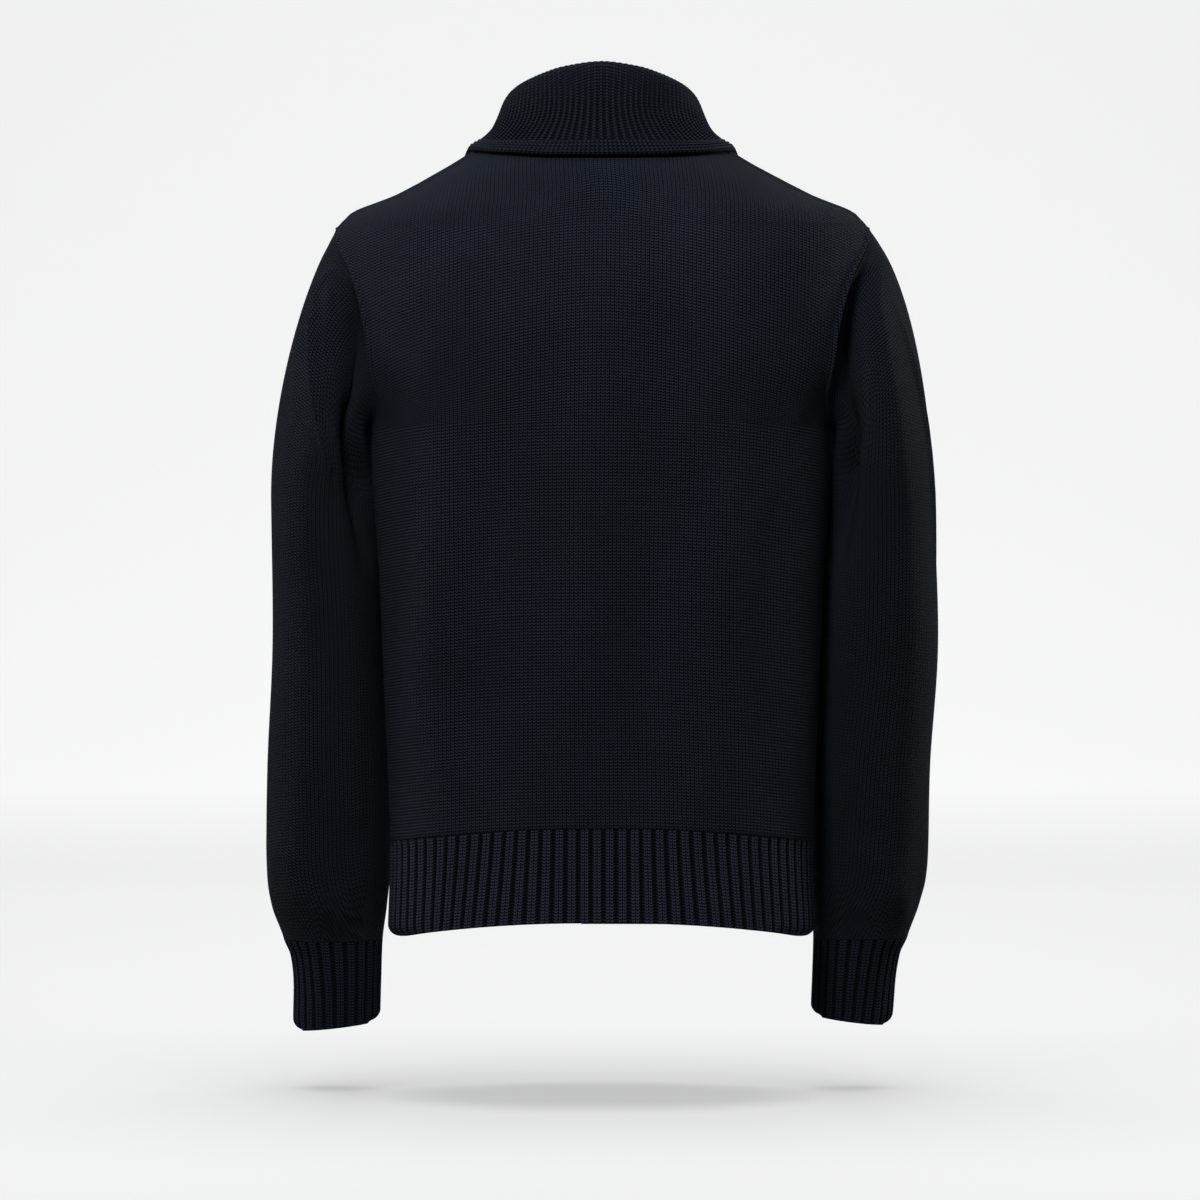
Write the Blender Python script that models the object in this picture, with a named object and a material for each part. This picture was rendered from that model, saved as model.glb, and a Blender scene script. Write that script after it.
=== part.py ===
"""A knitted shawl collar cardigan, filled out as if it were worn by nobody.

Sizes are in metres. The origin is in the middle of the neck hole, 6 mm above the top of the shoulder
seams. The front faces -Y, the back +Y, and the wearer's left side is +X. Every piece of cloth is a
closed wall: an outer face on a grid, a plainer inner face, and rims that join the two.
"""

import math
from collections import namedtuple

import bmesh
import bpy
import numpy as np

SEAM = 0.0003  # two pieces that are linked together stand this far apart
CURVED_SEAM = 0.0005  # and this far where the two edges bend, and are drawn with different steps
KNIT = 0.0026  # wall of the plain knitted panels and sleeves
RIB_WALL = 0.0034  # wall of the hem, the cuffs and the bands, over the top of a rib
RIB_DEPTH = 0.0013  # how deep a groove of the broad ribs is
FINE_RIB_DEPTH = 0.0010  # how deep a groove of the fine ribs is, on the collar and the bands

HEM_RIBS = 88
CUFF_RIBS = 24
RIB_PROFILE = ((0.02, 0.0), (0.58, 0.0), (0.80, 1.0))  # along one broad rib: place, share of the groove
FINE_RIB = 0.0045  # one fine rib and its groove
PLAIN_STEP = 4  # the plain side of a finely ribbed wall has a row at every fourth of its ribbed side's
SAMPLES = 1001  # points at which a curve's length is measured

BAND_SEAM_X = 0.019  # where each front meets its band
BAND_EDGE_X = 0.0175  # the band's free edge, past the middle of the front
OVERLAP = 0.0048  # the left front lies this far in front of the right one at the bands
OVERLAP_FROM_X = 0.07  # the left front starts to lift here

BUTTONS = 5
BUTTON_TOP_Z = -0.306
BUTTON_BOTTOM_Z = -0.642
BUTTON_SIDES = 16
BUTTON_SEAT = 0.0049  # the left band's face and the seam under a button, out of the front
BUTTON_PROFILE = (  # radius and height, from the back's edge over the rim into the dish
    (0.0092, 0.0),
    (0.0105, 0.0012),
    (0.0105, 0.0030),
    (0.0094, 0.0040),
    (0.0072, 0.0040),
    (0.0058, 0.0030),
)
BUTTON_DISH = 0.0028  # how high the button's sunk middle stands

COLLAR_RIBS = 204
COLLAR_WALL = 0.0038
COLLAR_LIFT = 0.0016  # the least air under the collar's fall
COLLAR_FREE_Z = (0.020, 0.045)  # it lies on the fronts below these heights, and hangs free above them
COLLAR_FREE_Y = 0.020  # and this far in front of the neck's middle
COLLAR_GAP = 0.0009  # the collar's seam edge stands this far off the neckline

# The body, one row a level from the hem edge up to the neck. A level is a ring: its height at the
# sides, at the middle of the back and at the middle of the front, its half width, how deep it is behind
# and in front of its own middle, where that middle is, and how square it is (2 is an ellipse). The
# shoulders lie a little to the right, as in the photo.
Ring = namedtuple(
    "Ring", "side_z back_z front_z half_width back_depth front_depth centre_x centre_y squareness"
)
BODY = (
    Ring(-0.6775, -0.6576, -0.6800, 0.1795, 0.107, 0.113, 0.0000, 0.000, 2.30),  # hem edge
    Ring(-0.5960, -0.5810, -0.6000, 0.1775, 0.105, 0.112, 0.0000, 0.000, 2.30),  # hem line
    Ring(-0.4900, -0.4800, -0.4920, 0.1815, 0.108, 0.116, 0.0000, 0.000, 2.30),  # waist
    Ring(-0.3700, -0.3620, -0.3700, 0.1865, 0.114, 0.121, 0.0000, 0.001, 2.30),  # ribcage
    Ring(-0.2520, -0.2500, -0.2520, 0.1905, 0.120, 0.122, 0.0000, 0.002, 2.25),  # armpit
    Ring(-0.1950, -0.1900, -0.1900, 0.2130, 0.118, 0.114, 0.0000, 0.004, 2.20),  # shoulder blades
    Ring(-0.1350, -0.1280, -0.1250, 0.2235, 0.110, 0.101, -0.0005, 0.007, 2.10),  # middle of the armholes
    Ring(-0.0820, -0.0860, -0.0700, 0.2215, 0.095, 0.082, -0.0010, 0.010, 2.00),  # shoulder tips
    Ring(-0.0570, -0.0620, -0.0500, 0.1710, 0.084, 0.066, -0.0020, 0.012, 2.00),  # yoke
    Ring(-0.0300, -0.0400, -0.0370, 0.1220, 0.072, 0.052, -0.0005, 0.013, 2.00),  # slope of the neck
    Ring(-0.0060, -0.0220, -0.0330, 0.0880, 0.056, 0.045, 0.0000, 0.010, 2.00),  # neck
)
NECK = 10  # the level of the neck's ring

# Half an armhole, from the armpit up to the shoulder tip: the level, and how many degrees the hole
# takes out of the back and of the front there.
Bite = namedtuple("Bite", "level back front")
ARMHOLE = (
    Bite(4.00, 0.0, 0.0),
    Bite(4.12, 11.0, 12.0),
    Bite(4.40, 20.0, 23.0),
    Bite(4.80, 25.0, 30.0),
    Bite(5.30, 27.0, 32.0),
    Bite(5.80, 25.5, 29.5),
    Bite(6.25, 21.0, 23.0),
    Bite(6.65, 13.5, 14.0),
    Bite(6.88, 9.0, 9.0),
    Bite(7.00, 0.0, 0.0),
)
ARMHOLE_STEPS = 9

# The front edges: how far from the middle each front ends at a level. They run straight up beside the
# bands, then out along the neckline to the shoulder.
Neckline = namedtuple("Neckline", "level left_x right_x")
NECKLINE = (
    Neckline(0.00, 0.0190, 0.0190),
    Neckline(3.20, 0.0190, 0.0190),
    Neckline(3.45, 0.0190, 0.0210),
    Neckline(3.70, 0.0190, 0.0260),
    Neckline(4.00, 0.0255, 0.0310),
    Neckline(5.00, 0.0400, 0.0420),
    Neckline(6.00, 0.0560, 0.0560),
    Neckline(7.00, 0.0700, 0.0700),
    Neckline(8.00, 0.0775, 0.0775),
    Neckline(9.00, 0.0835, 0.0835),
    Neckline(10.0, 0.0875, 0.0875),
)
APEX_LEVEL = 3.70  # where the collar starts
LEVELS_BELOW_ARMPIT = (1.0, 1.5, 2.0, 2.5, 3.0, 3.2, 3.45, 3.70)
INNER_LEVELS_BELOW = (0, 2, 5, 6, 7)  # which of these the plain inner face has
LEVELS_ABOVE_TIP = (7.6, 8.2, 8.8, 9.4, 10.0)

# The soft drape of the body: where the middle of each fold is, how far it reaches, and how far it stands
# out (or, below 0, sinks in). The folds of the back are the photographed ones.
Fold = namedtuple("Fold", "facing x z half_width half_height height")
BACK, FRONT = 1, -1
BODY_FOLDS = (
    Fold(BACK, 0.144, -0.400, 0.028, 0.160, 0.0035),
    Fold(BACK, 0.100, -0.390, 0.024, 0.170, -0.0030),
    Fold(BACK, 0.012, -0.420, 0.036, 0.150, 0.0030),
    Fold(BACK, -0.038, -0.400, 0.026, 0.160, -0.0035),
    Fold(BACK, -0.096, -0.410, 0.030, 0.160, 0.0035),
    Fold(BACK, -0.146, -0.380, 0.026, 0.150, -0.0030),
    Fold(FRONT, 0.120, -0.400, 0.034, 0.160, 0.0030),
    Fold(FRONT, 0.070, -0.430, 0.026, 0.130, -0.0025),
    Fold(FRONT, -0.105, -0.410, 0.034, 0.170, 0.0030),
    Fold(FRONT, -0.062, -0.390, 0.024, 0.140, -0.0025),
)
FOLDS_FADE_Y = 0.05  # the folds die out towards the side seams

# The sleeves, one row a ring from the upper arm down to the cuff's edge. The last two rows are the cuff.
Section = namedtuple("Section", "z outer_x inner_x centre_y half_depth")
LEFT_ARM = (
    Section(-0.3100, 0.2785, 0.1882, -0.014, 0.066),
    Section(-0.4300, 0.2785, 0.1838, -0.028, 0.062),
    Section(-0.5330, 0.2840, 0.1790, -0.041, 0.057),
    Section(-0.6180, 0.2855, 0.1800, -0.050, 0.052),
    Section(-0.6540, 0.2815, 0.1830, -0.052, 0.046),
    Section(-0.6840, 0.2710, 0.1868, -0.053, 0.038),
    Section(-0.7200, 0.2650, 0.1880, -0.053, 0.034),
    Section(-0.7570, 0.2630, 0.1890, -0.054, 0.034),
)
RIGHT_ARM = (
    Section(-0.3100, 0.2800, 0.1882, -0.014, 0.066),
    Section(-0.4300, 0.2850, 0.1838, -0.028, 0.062),
    Section(-0.5330, 0.2795, 0.1790, -0.041, 0.057),
    Section(-0.6180, 0.2780, 0.1790, -0.050, 0.052),
    Section(-0.6520, 0.2715, 0.1800, -0.052, 0.046),
    Section(-0.6820, 0.2610, 0.1807, -0.053, 0.038),
    Section(-0.7180, 0.2530, 0.1797, -0.053, 0.034),
    Section(-0.7520, 0.2475, 0.1785, -0.054, 0.034),
)
CUFF_LINE, CUFF_EDGE = 5, 7
CUFF_TILT = 0.004  # the cuff's edge is this much lower on the outer side
LEFT_CAP_PUSH = (0.0115, 0.028)  # how far the top of the sleeve cap swells out and up from a straight line
RIGHT_CAP_PUSH = (0.0190, 0.036)
SIDE_PUSH = (0.006, 0.010)  # how far it swells behind and in front, and up there
UNDER_PUSH = 0.005  # how far the underarm stands off the body
CAP_START, CAP_END = 0.35, 0.33  # where the cap's curve is drawn from and to, as shares of its chord
CAP_STEPS = (0.0, 0.12, 0.26, 0.42, 0.58, 0.74, 0.88)
ARM_PLACES = (0.0, 0.5, 1.0, 1.5, 2.0, 2.5, 3.0, 3.5, 4.0, 4.5, 4.999)

# The folds of a sleeve run down it: the angle round the arm where each starts and ends, its heights, how
# wide it is in degrees, and how far it stands out. 0 is the outer side and 90 the back.
ArmFold = namedtuple("ArmFold", "top_angle bottom_angle top_z bottom_z half_angle height")
LEFT_ARM_FOLDS = (
    ArmFold(72.0, 96.0, -0.130, -0.300, 16.0, 0.0060),
    ArmFold(118.0, 134.0, -0.160, -0.330, 18.0, -0.0070),
    ArmFold(260.0, 230.0, -0.140, -0.300, 20.0, 0.0040),
    ArmFold(40.0, 70.0, -0.600, -0.655, 22.0, 0.0030),
)
RIGHT_ARM_FOLDS = (
    ArmFold(50.0, 75.0, -0.120, -0.290, 18.0, 0.0040),
    ArmFold(112.0, 130.0, -0.150, -0.330, 20.0, -0.0060),
    ArmFold(265.0, 235.0, -0.140, -0.300, 20.0, 0.0040),
    ArmFold(100.0, 60.0, -0.600, -0.655, 22.0, 0.0030),
)

# The collar is one long strip: from the left front's corner, up round the neck, down to the right
# front's. Each row gives a share of its seam, the crest it is folded over, and its free edge.
Station = namedtuple("Station", "share crest_x crest_y crest_z edge_x edge_y edge_z radius")
COLLAR = (
    Station(0.000, -0.0175, -0.1300, -0.2815, -0.0100, -0.1350, -0.2870, 0.0028),
    Station(0.035, -0.0070, -0.1300, -0.2490, 0.0400, -0.1270, -0.2600, 0.0030),
    Station(0.108, 0.0235, -0.1190, -0.1830, 0.0880, -0.1070, -0.1960, 0.0036),
    Station(0.184, 0.0450, -0.0985, -0.1130, 0.1080, -0.0910, -0.1400, 0.0038),
    Station(0.251, 0.0615, -0.0745, -0.0560, 0.1180, -0.0690, -0.0850, 0.0040),
    Station(0.284, 0.0705, -0.0530, -0.0330, 0.1190, -0.0560, -0.0620, 0.0042),
    Station(0.317, 0.0775, -0.0300, -0.0125, 0.1185, -0.0260, -0.0400, 0.0044),
    Station(0.345, 0.0785, -0.0100, 0.0020, 0.1165, -0.0070, -0.0260, 0.0045),
    Station(0.372, 0.0775, 0.0080, 0.0150, 0.1120, 0.0100, -0.0184, 0.0045),
    Station(0.390, 0.0745, 0.0215, 0.0240, 0.1090, 0.0260, -0.0195, 0.0045),
    Station(0.406, 0.0690, 0.0335, 0.0300, 0.1030, 0.0400, -0.0215, 0.0045),
    Station(0.425, 0.0600, 0.0440, 0.0348, 0.0900, 0.0545, -0.0245, 0.0045),
    Station(0.450, 0.0450, 0.0540, 0.0402, 0.0680, 0.0680, -0.0270, 0.0045),
    Station(0.470, 0.0290, 0.0600, 0.0443, 0.0430, 0.0775, -0.0280, 0.0045),
    Station(0.500, 0.0000, 0.0640, 0.0476, 0.0000, 0.0820, -0.0285, 0.0045),
    Station(0.530, -0.0290, 0.0600, 0.0443, -0.0430, 0.0775, -0.0280, 0.0045),
    Station(0.550, -0.0450, 0.0540, 0.0402, -0.0680, 0.0680, -0.0270, 0.0045),
    Station(0.575, -0.0600, 0.0440, 0.0348, -0.0900, 0.0545, -0.0245, 0.0045),
    Station(0.594, -0.0690, 0.0335, 0.0300, -0.1030, 0.0400, -0.0215, 0.0045),
    Station(0.610, -0.0745, 0.0215, 0.0240, -0.1090, 0.0260, -0.0195, 0.0045),
    Station(0.628, -0.0775, 0.0080, 0.0150, -0.1120, 0.0100, -0.0184, 0.0045),
    Station(0.655, -0.0785, -0.0100, 0.0020, -0.1165, -0.0070, -0.0260, 0.0045),
    Station(0.683, -0.0775, -0.0300, -0.0125, -0.1185, -0.0260, -0.0400, 0.0044),
    Station(0.716, -0.0705, -0.0530, -0.0330, -0.1190, -0.0560, -0.0620, 0.0042),
    Station(0.749, -0.0615, -0.0745, -0.0560, -0.1180, -0.0690, -0.0850, 0.0040),
    Station(0.816, -0.0450, -0.0985, -0.1130, -0.1080, -0.0910, -0.1400, 0.0038),
    Station(0.892, -0.0300, -0.1160, -0.1830, -0.0890, -0.1070, -0.1960, 0.0036),
    Station(0.965, -0.0205, -0.1275, -0.2490, -0.0560, -0.1245, -0.2620, 0.0030),
    Station(1.000, -0.0262, -0.1285, -0.2815, -0.0355, -0.1265, -0.2870, 0.0028),
)
FOLD_TURNS = (-90.0, 0.0, 90.0)  # degrees round the fold, from the stand to the fall
FALL_STEPS = (0.45, 1.0)
FALL_DROP = 0.55  # how far the fall goes straight down before it turns out to its edge

KNIT_COLOUR = (0.0105, 0.0120, 0.0180, 1.0)
RIB_COLOUR = (0.0085, 0.0100, 0.0155, 1.0)
BUTTON_COLOUR = (0.0120, 0.0110, 0.0115, 1.0)


def along(table, place):
    """The table's columns at any place between its rows, on a smooth curve through them."""
    points = np.array(table, float)
    padded = np.vstack([2 * points[0] - points[1], points, 2 * points[-1] - points[-2]])
    place = np.clip(np.asarray(place, float), 0, len(points) - 1)
    row = np.minimum(place.astype(int), len(points) - 2)
    t = (place - row)[..., None]
    before, start, end, after = (padded[row + k] for k in range(4))
    straight = (end - before) * t
    bend = (2 * before - 5 * start + 4 * end - after) * t**2
    turn = (3 * start - before - 3 * end + after) * t**3
    return 0.5 * (2 * start + straight + bend + turn)


def smooth(value, start, end):
    """0 before start, 1 after end, and a soft step between them."""
    t = np.clip((value - start) / (end - start), 0, 1)
    return t * t * (3 - 2 * t)


def unit(vectors):
    return vectors / np.linalg.norm(vectors, axis=-1, keepdims=True)


def outward(surface, first, second, first_step, second_step):
    """The normal of a surface of two parameters: its step up crossed with its step round."""
    round_step = surface(first + first_step, second) - surface(first - first_step, second)
    up_step = surface(first, second + second_step) - surface(first, second - second_step)
    return unit(np.cross(up_step, round_step))


# The body


def body(angle, level):
    """A point of the body: the angle is in degrees from the middle of the back towards the left side."""
    angle, level = np.broadcast_arrays(np.asarray(angle, float), np.asarray(level, float))
    ring = Ring(*np.moveaxis(along(BODY, level), -1, 0))
    sine, cosine = np.sin(np.radians(angle)), np.cos(np.radians(angle))
    behind = cosine > 0
    power = 2 / ring.squareness
    depth = np.where(behind, ring.back_depth, ring.front_depth)
    end_z = np.where(behind, ring.back_z, ring.front_z)
    x = ring.centre_x + ring.half_width * np.sign(sine) * np.abs(sine) ** power
    y = ring.centre_y + depth * np.sign(cosine) * np.abs(cosine) ** power
    z = ring.side_z + (end_z - ring.side_z) * cosine**2
    return np.stack([x, y, z], -1)


def body_normal(angle, level):
    return outward(body, angle, level, 0.01, 0.002)


def drape(places):
    """How far the body's folds move each point out."""
    x, y, z = np.moveaxis(places, -1, 0)
    total = np.zeros(x.shape)
    for fold in BODY_FOLDS:
        here = smooth(fold.facing * y, 0, FOLDS_FADE_Y)
        reach = ((x - fold.x) / fold.half_width) ** 2 + ((z - fold.z) / fold.half_height) ** 2
        total += here * fold.height * np.exp(-reach)
    return total


def overlap(places):
    """How far the left front is lifted to lie over the right one."""
    x, y, _ = np.moveaxis(places, -1, 0)
    lift = OVERLAP * smooth(-x, -OVERLAP_FROM_X, -BAND_SEAM_X)
    return np.where((x > 0) & (y < 0), lift, 0)


def cloth(angle, level, depth=0.0):
    """A point of the draped cloth: depth is measured out from its outer face."""
    places = body(angle, level)
    out = drape(places) + overlap(places) + depth
    return places + body_normal(angle, level) * out[..., None]


def front_edge_angle(level, side):
    """The angle at which a front ends, beside its band or along the neckline."""
    rows = np.array(NECKLINE)
    x = side * np.interp(level, rows[:, 0], rows[:, 1 if side > 0 else 2])
    return np.abs(front_angle(x, level))


def front_level(x, z):
    """The level at which the front passes through a place, found by halving."""
    x, z = np.broadcast_arrays(np.asarray(x, float), np.asarray(z, float))
    low, high = np.zeros(x.shape), np.full(x.shape, float(NECK))
    for _ in range(30):
        middle = (low + high) / 2
        above = body(front_angle(x, middle), middle)[..., 2] > z
        high = np.where(above, middle, high)
        low = np.where(above, low, middle)
    return (low + high) / 2


def front_angle(x, level):
    """The angle of the front's point that is x from the middle."""
    ring = Ring(*np.moveaxis(along(BODY, level), -1, 0))
    across = (x - ring.centre_x) / ring.half_width
    sine = np.minimum(np.abs(across), 1) ** (ring.squareness / 2)
    return np.where(across < 0, -1, 1) * (180 - np.degrees(np.arcsin(sine)))


def front_place(x, z, lift):
    """The point of the front at x and z, lifted out of it."""
    level = front_level(x, z)
    angle = front_angle(x, level)
    return body(angle, level) + body_normal(angle, level) * np.asarray(lift)[..., None]


# Walls


def stitched(first, second, first_at=None, second_at=None):
    """Triangles between two rows of vertices that may differ in number. The last two arguments say how
    far along each vertex lies; without them both rows are evenly spaced."""
    first_at = np.linspace(0, 1, len(first)) if first_at is None else first_at
    second_at = np.linspace(0, 1, len(second)) if second_at is None else second_at
    faces = []
    i = j = 0
    last, end = len(first) - 1, len(second) - 1
    while i < last or j < end:
        if j == end or (i < last and first_at[i + 1] <= second_at[j + 1]):
            faces.append((first[i], first[i + 1], second[j]))
            i += 1
        else:
            faces.append((second[j + 1], second[j], first[i]))
            j += 1
    return faces


def grid_faces(index):
    """The quads of a grid of vertex numbers."""
    corners = index[:-1, :-1], index[:-1, 1:], index[1:, 1:], index[1:, :-1]
    return np.stack(corners, -1).reshape(-1, 4).tolist()


def wall(name, outer, inner, colour, kept=None, tube=False):
    """A closed wall of cloth between two grids of points. Where the inner grid has fewer rows, kept says
    which of the outer's they are. A tube's grids also join end to end."""
    first = np.arange(outer.shape[0] * outer.shape[1]).reshape(outer.shape[:2])
    second = np.arange(inner.shape[0] * inner.shape[1]).reshape(inner.shape[:2]) + first.size
    if tube:
        first = np.hstack([first, first[:, :1]])
        second = np.hstack([second, second[:, :1]])
    faces = grid_faces(first) + grid_faces(second)
    faces += stitched(first[0], second[0]) + stitched(first[-1], second[-1])
    if not tube:
        rows = range(len(outer))
        kept = rows if kept is None else kept
        faces += stitched(first[:, 0], second[:, 0], rows, kept)
        faces += stitched(first[:, -1], second[:, -1], rows, kept)
    points = np.vstack([outer.reshape(-1, 3), inner.reshape(-1, 3)])
    return add_object(name, points, faces, colour, 0.95)


def add_object(name, points, faces, colour, roughness):
    mesh = bpy.data.meshes.new(name)
    mesh.from_pydata(points.tolist(), [], faces)
    shape = bmesh.new()
    shape.from_mesh(mesh)
    bmesh.ops.recalc_face_normals(shape, faces=shape.faces)
    shape.to_mesh(mesh)
    shape.free()
    mesh.shade_smooth()
    mesh.set_sharp_from_angle(angle=math.radians(50))
    material = bpy.data.materials.new(name)
    material.use_nodes = True
    finish = material.node_tree.nodes["Principled BSDF"]
    finish.inputs["Base Color"].default_value = colour
    finish.inputs["Roughness"].default_value = roughness
    finish.inputs["Metallic"].default_value = 0.0
    mesh.materials.append(material)
    made = bpy.data.objects.new(name, mesh)
    bpy.context.collection.objects.link(made)
    return made


def drawn_in(points, gap):
    """The grid with its two end columns moved in by half a seam."""
    drawn = points.copy()
    drawn[:, 0] += unit(points[:, 1] - points[:, 0]) * gap
    drawn[:, -1] += unit(points[:, -2] - points[:, -1]) * gap
    return drawn


# The panels


def panel_rows():
    """The levels of a panel's rows, and how much the armhole takes out of the back and the front there."""
    hole = along(ARMHOLE, np.linspace(0, len(ARMHOLE) - 1, ARMHOLE_STEPS + 1))
    level = np.concatenate([LEVELS_BELOW_ARMPIT, hole[:, 0], LEVELS_ABOVE_TIP])
    below, above = np.zeros(len(LEVELS_BELOW_ARMPIT)), np.zeros(len(LEVELS_ABOVE_TIP))
    back = np.concatenate([below, hole[:, 1], above])
    front = np.concatenate([below, hole[:, 2], above])
    return level, back, front


def add_panel(name, level, start, end, columns):
    """A knitted panel between two edges, which are given as angles at each level."""
    share = np.linspace(0, 1, columns)
    angle = start[:, None] + (end - start)[:, None] * share
    level = np.repeat(level[:, None], columns, 1)
    outer = drawn_in(cloth(angle, level), SEAM / 2)
    inner = drawn_in(cloth(angle, level, -KNIT), SEAM / 2)
    outer[0, :, 2] += CURVED_SEAM
    inner[0, :, 2] += CURVED_SEAM
    kept = [*INNER_LEVELS_BELOW, *range(len(LEVELS_BELOW_ARMPIT), len(inner))]
    wall(name, outer, inner[kept], KNIT_COLOUR, kept)


def add_panels():
    level, back_bite, front_bite = panel_rows()
    add_panel("back", level, back_bite - 90, 90 - back_bite, 21)
    for name, side in (("front_left", 1), ("front_right", -1)):
        start = side * (90 + front_bite)
        end = side * front_edge_angle(level, side)
        add_panel(name, level, start, end, 9)


def spaced_angles(level, start, end, shares):
    """The angles at given shares of a ring's length."""
    angle = np.linspace(start, end, SAMPLES)
    steps = np.linalg.norm(np.diff(body(angle, level), axis=0), axis=1)
    length = np.concatenate([[0], np.cumsum(steps)])
    return np.interp(shares * length[-1], length, angle)


def rib_columns(ribs):
    """Where the columns of broad ribs lie, in ribs, and how deep in a groove each is."""
    place = np.array([rib + step for rib in range(ribs) for step, _ in RIB_PROFILE])
    depth = np.array([share for _ in range(ribs) for _, share in RIB_PROFILE])
    return place, depth


def add_hem():
    """The ribbed hem, from the right band round the back to the left band."""
    start = -front_edge_angle(0.0, -1)
    end = front_edge_angle(0.0, 1)
    place, groove = rib_columns(HEM_RIBS)
    place, groove = np.append(place, HEM_RIBS), np.append(groove, 0.0)
    place[0] = 0
    level = np.array([0.0, 0.5, 1.0])
    kept = [0, 2]
    angle = spaced_angles(0.5, start, end, place / HEM_RIBS)
    outer = cloth(angle[None, :], level[:, None], -RIB_DEPTH * groove[None, :])
    plain = spaced_angles(0.5, start, end, np.arange(HEM_RIBS + 1) / HEM_RIBS)
    inner = cloth(plain[None, :], level[kept, None], -RIB_WALL)
    wall("hem_rib", drawn_in(outer, SEAM / 2), drawn_in(inner, SEAM / 2), RIB_COLOUR, kept)


# The sleeves


def armhole_loop(side, steps):
    """The armhole's points in order: shoulder tip, down the back, armpit, up the front."""
    hole = along(ARMHOLE, np.linspace(0, len(ARMHOLE) - 1, steps + 1))
    level, back, front = hole.T
    angle = side * np.concatenate([90 - back[::-1], 90 + front[1:-1]])
    level = np.concatenate([level[::-1], level[1:-1]])
    return angle, level


def arm_ring(table, side, angle, place):
    """A point of the sleeve's rings: 0 degrees is the outer side and 90 the back."""
    section = Section(*np.moveaxis(along(table, place), -1, 0))
    middle = (section.outer_x + section.inner_x) / 2
    half_width = (section.outer_x - section.inner_x) / 2
    turn = np.radians(angle)
    tilt = CUFF_TILT * np.cos(turn) * smooth(place, CUFF_LINE, CUFF_EDGE)
    x = side * (middle + half_width * np.cos(turn))
    y = section.centre_y + section.half_depth * np.sin(turn)
    z = section.z - tilt
    return np.stack([x, y, z + 0 * x], -1)


def loop_angles(points):
    """Each armhole point's angle round the arm: the tip is 0, the armpit 180, and by length between."""
    half = len(points) // 2
    steps = np.linalg.norm(np.diff(np.vstack([points, points[:1]]), axis=0), axis=1)
    back = np.concatenate([[0], np.cumsum(steps[:half])])
    front = np.concatenate([[0], np.cumsum(steps[half:])])
    return np.concatenate([180 * back / back[-1], 180 + 180 * front[1:-1] / front[-1]])


def cap_point(start, angle, step, table, side, push):
    """The sleeve cap: a cubic curve from the armhole down to the upper arm's ring."""
    end = arm_ring(table, side, angle, 0.0)
    below = arm_ring(table, side, angle, 0.05)
    chord = end - start
    reach = np.linalg.norm(chord, axis=-1, keepdims=True)
    turn = np.radians(angle)
    top = ((1 + np.cos(turn)) / 2) ** 2
    under = ((1 - np.cos(turn)) / 2) ** 2
    swell = np.abs(np.sin(turn)) ** 1.5
    move = np.stack(
        [
            side * (push[0] * top + UNDER_PUSH * under),
            np.sign(np.sin(turn)) * SIDE_PUSH[0] * swell,
            push[1] * top + SIDE_PUSH[1] * swell,
        ],
        -1,
    )
    first = start + CAP_START * chord + move
    second = end + CAP_END * unit(end - below) * reach
    t = np.asarray(step)[..., None]
    return (1 - t) ** 3 * start + 3 * (1 - t) ** 2 * t * first + 3 * (1 - t) * t**2 * second + t**3 * end


def arm_folds(table, angle, z):
    """How far a sleeve's folds move its points out."""
    total = np.zeros(np.broadcast(angle, z).shape)
    for fold in table:
        share = (z - fold.top_z) / (fold.bottom_z - fold.top_z)
        middle = fold.top_angle + (fold.bottom_angle - fold.top_angle) * np.clip(share, 0, 1)
        away = (angle - middle + 180) % 360 - 180
        length = smooth(share, -0.25, 0.25) * (1 - smooth(share, 0.75, 1.25))
        total += fold.height * length * np.exp(-((away / fold.half_angle) ** 2))
    return total


def sleeve_shift(side, angle, level, points, directions):
    """The way in which the sleeve's first ring is moved off the panels' edges."""
    normal = body_normal(angle, level)
    round_loop = np.roll(points, -1, axis=0) - np.roll(points, 1, axis=0)
    away = unit(np.cross(round_loop, normal)) * side
    return unit(unit(directions) + away + normal / 2)


def sleeve_rows(side, table, push):
    """The sleeve's outer face without its folds, and its columns' angles round the arm."""
    hole_angle, level = armhole_loop(side, ARMHOLE_STEPS)
    start = cloth(hole_angle, level)
    angle = loop_angles(start)
    first_way = cap_point(start, angle, 0.02, table, side, push) - start
    start = start + sleeve_shift(side, hole_angle, level, start, first_way) * CURVED_SEAM
    rows = [cap_point(start, angle, step, table, side, push) for step in CAP_STEPS]
    rows += [arm_ring(table, side, angle, place) for place in ARM_PLACES]
    return np.array(rows), angle


def grid_normals(rows, side):
    """The outward normals of a tube's grid of points."""
    down = np.gradient(rows, axis=0)
    round_step = np.roll(rows, -1, axis=1) - np.roll(rows, 1, axis=1)
    return unit(np.cross(down, round_step)) * side


def add_sleeve(name, side, table, push, folds):
    rows, angle = sleeve_rows(side, table, push)
    rows[-1, :, 2] += SEAM
    normals = grid_normals(rows, side)
    settled = smooth(np.arange(len(rows)), 0, 3)[:, None]  # no fold starts at the armhole itself
    out = arm_folds(folds, angle[None, :], rows[..., 2]) * settled
    outer = rows + normals * out[..., None]
    inner = rows + normals * (out - KNIT)[..., None]
    inner[-1, :, 2] = outer[-1, :, 2]
    cap = len(CAP_STEPS)
    kept = list(range(cap)) + list(range(cap, len(rows) - 1, 2)) + [len(rows) - 1]
    wall(name, outer, inner[kept], KNIT_COLOUR, tube=True)


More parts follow.
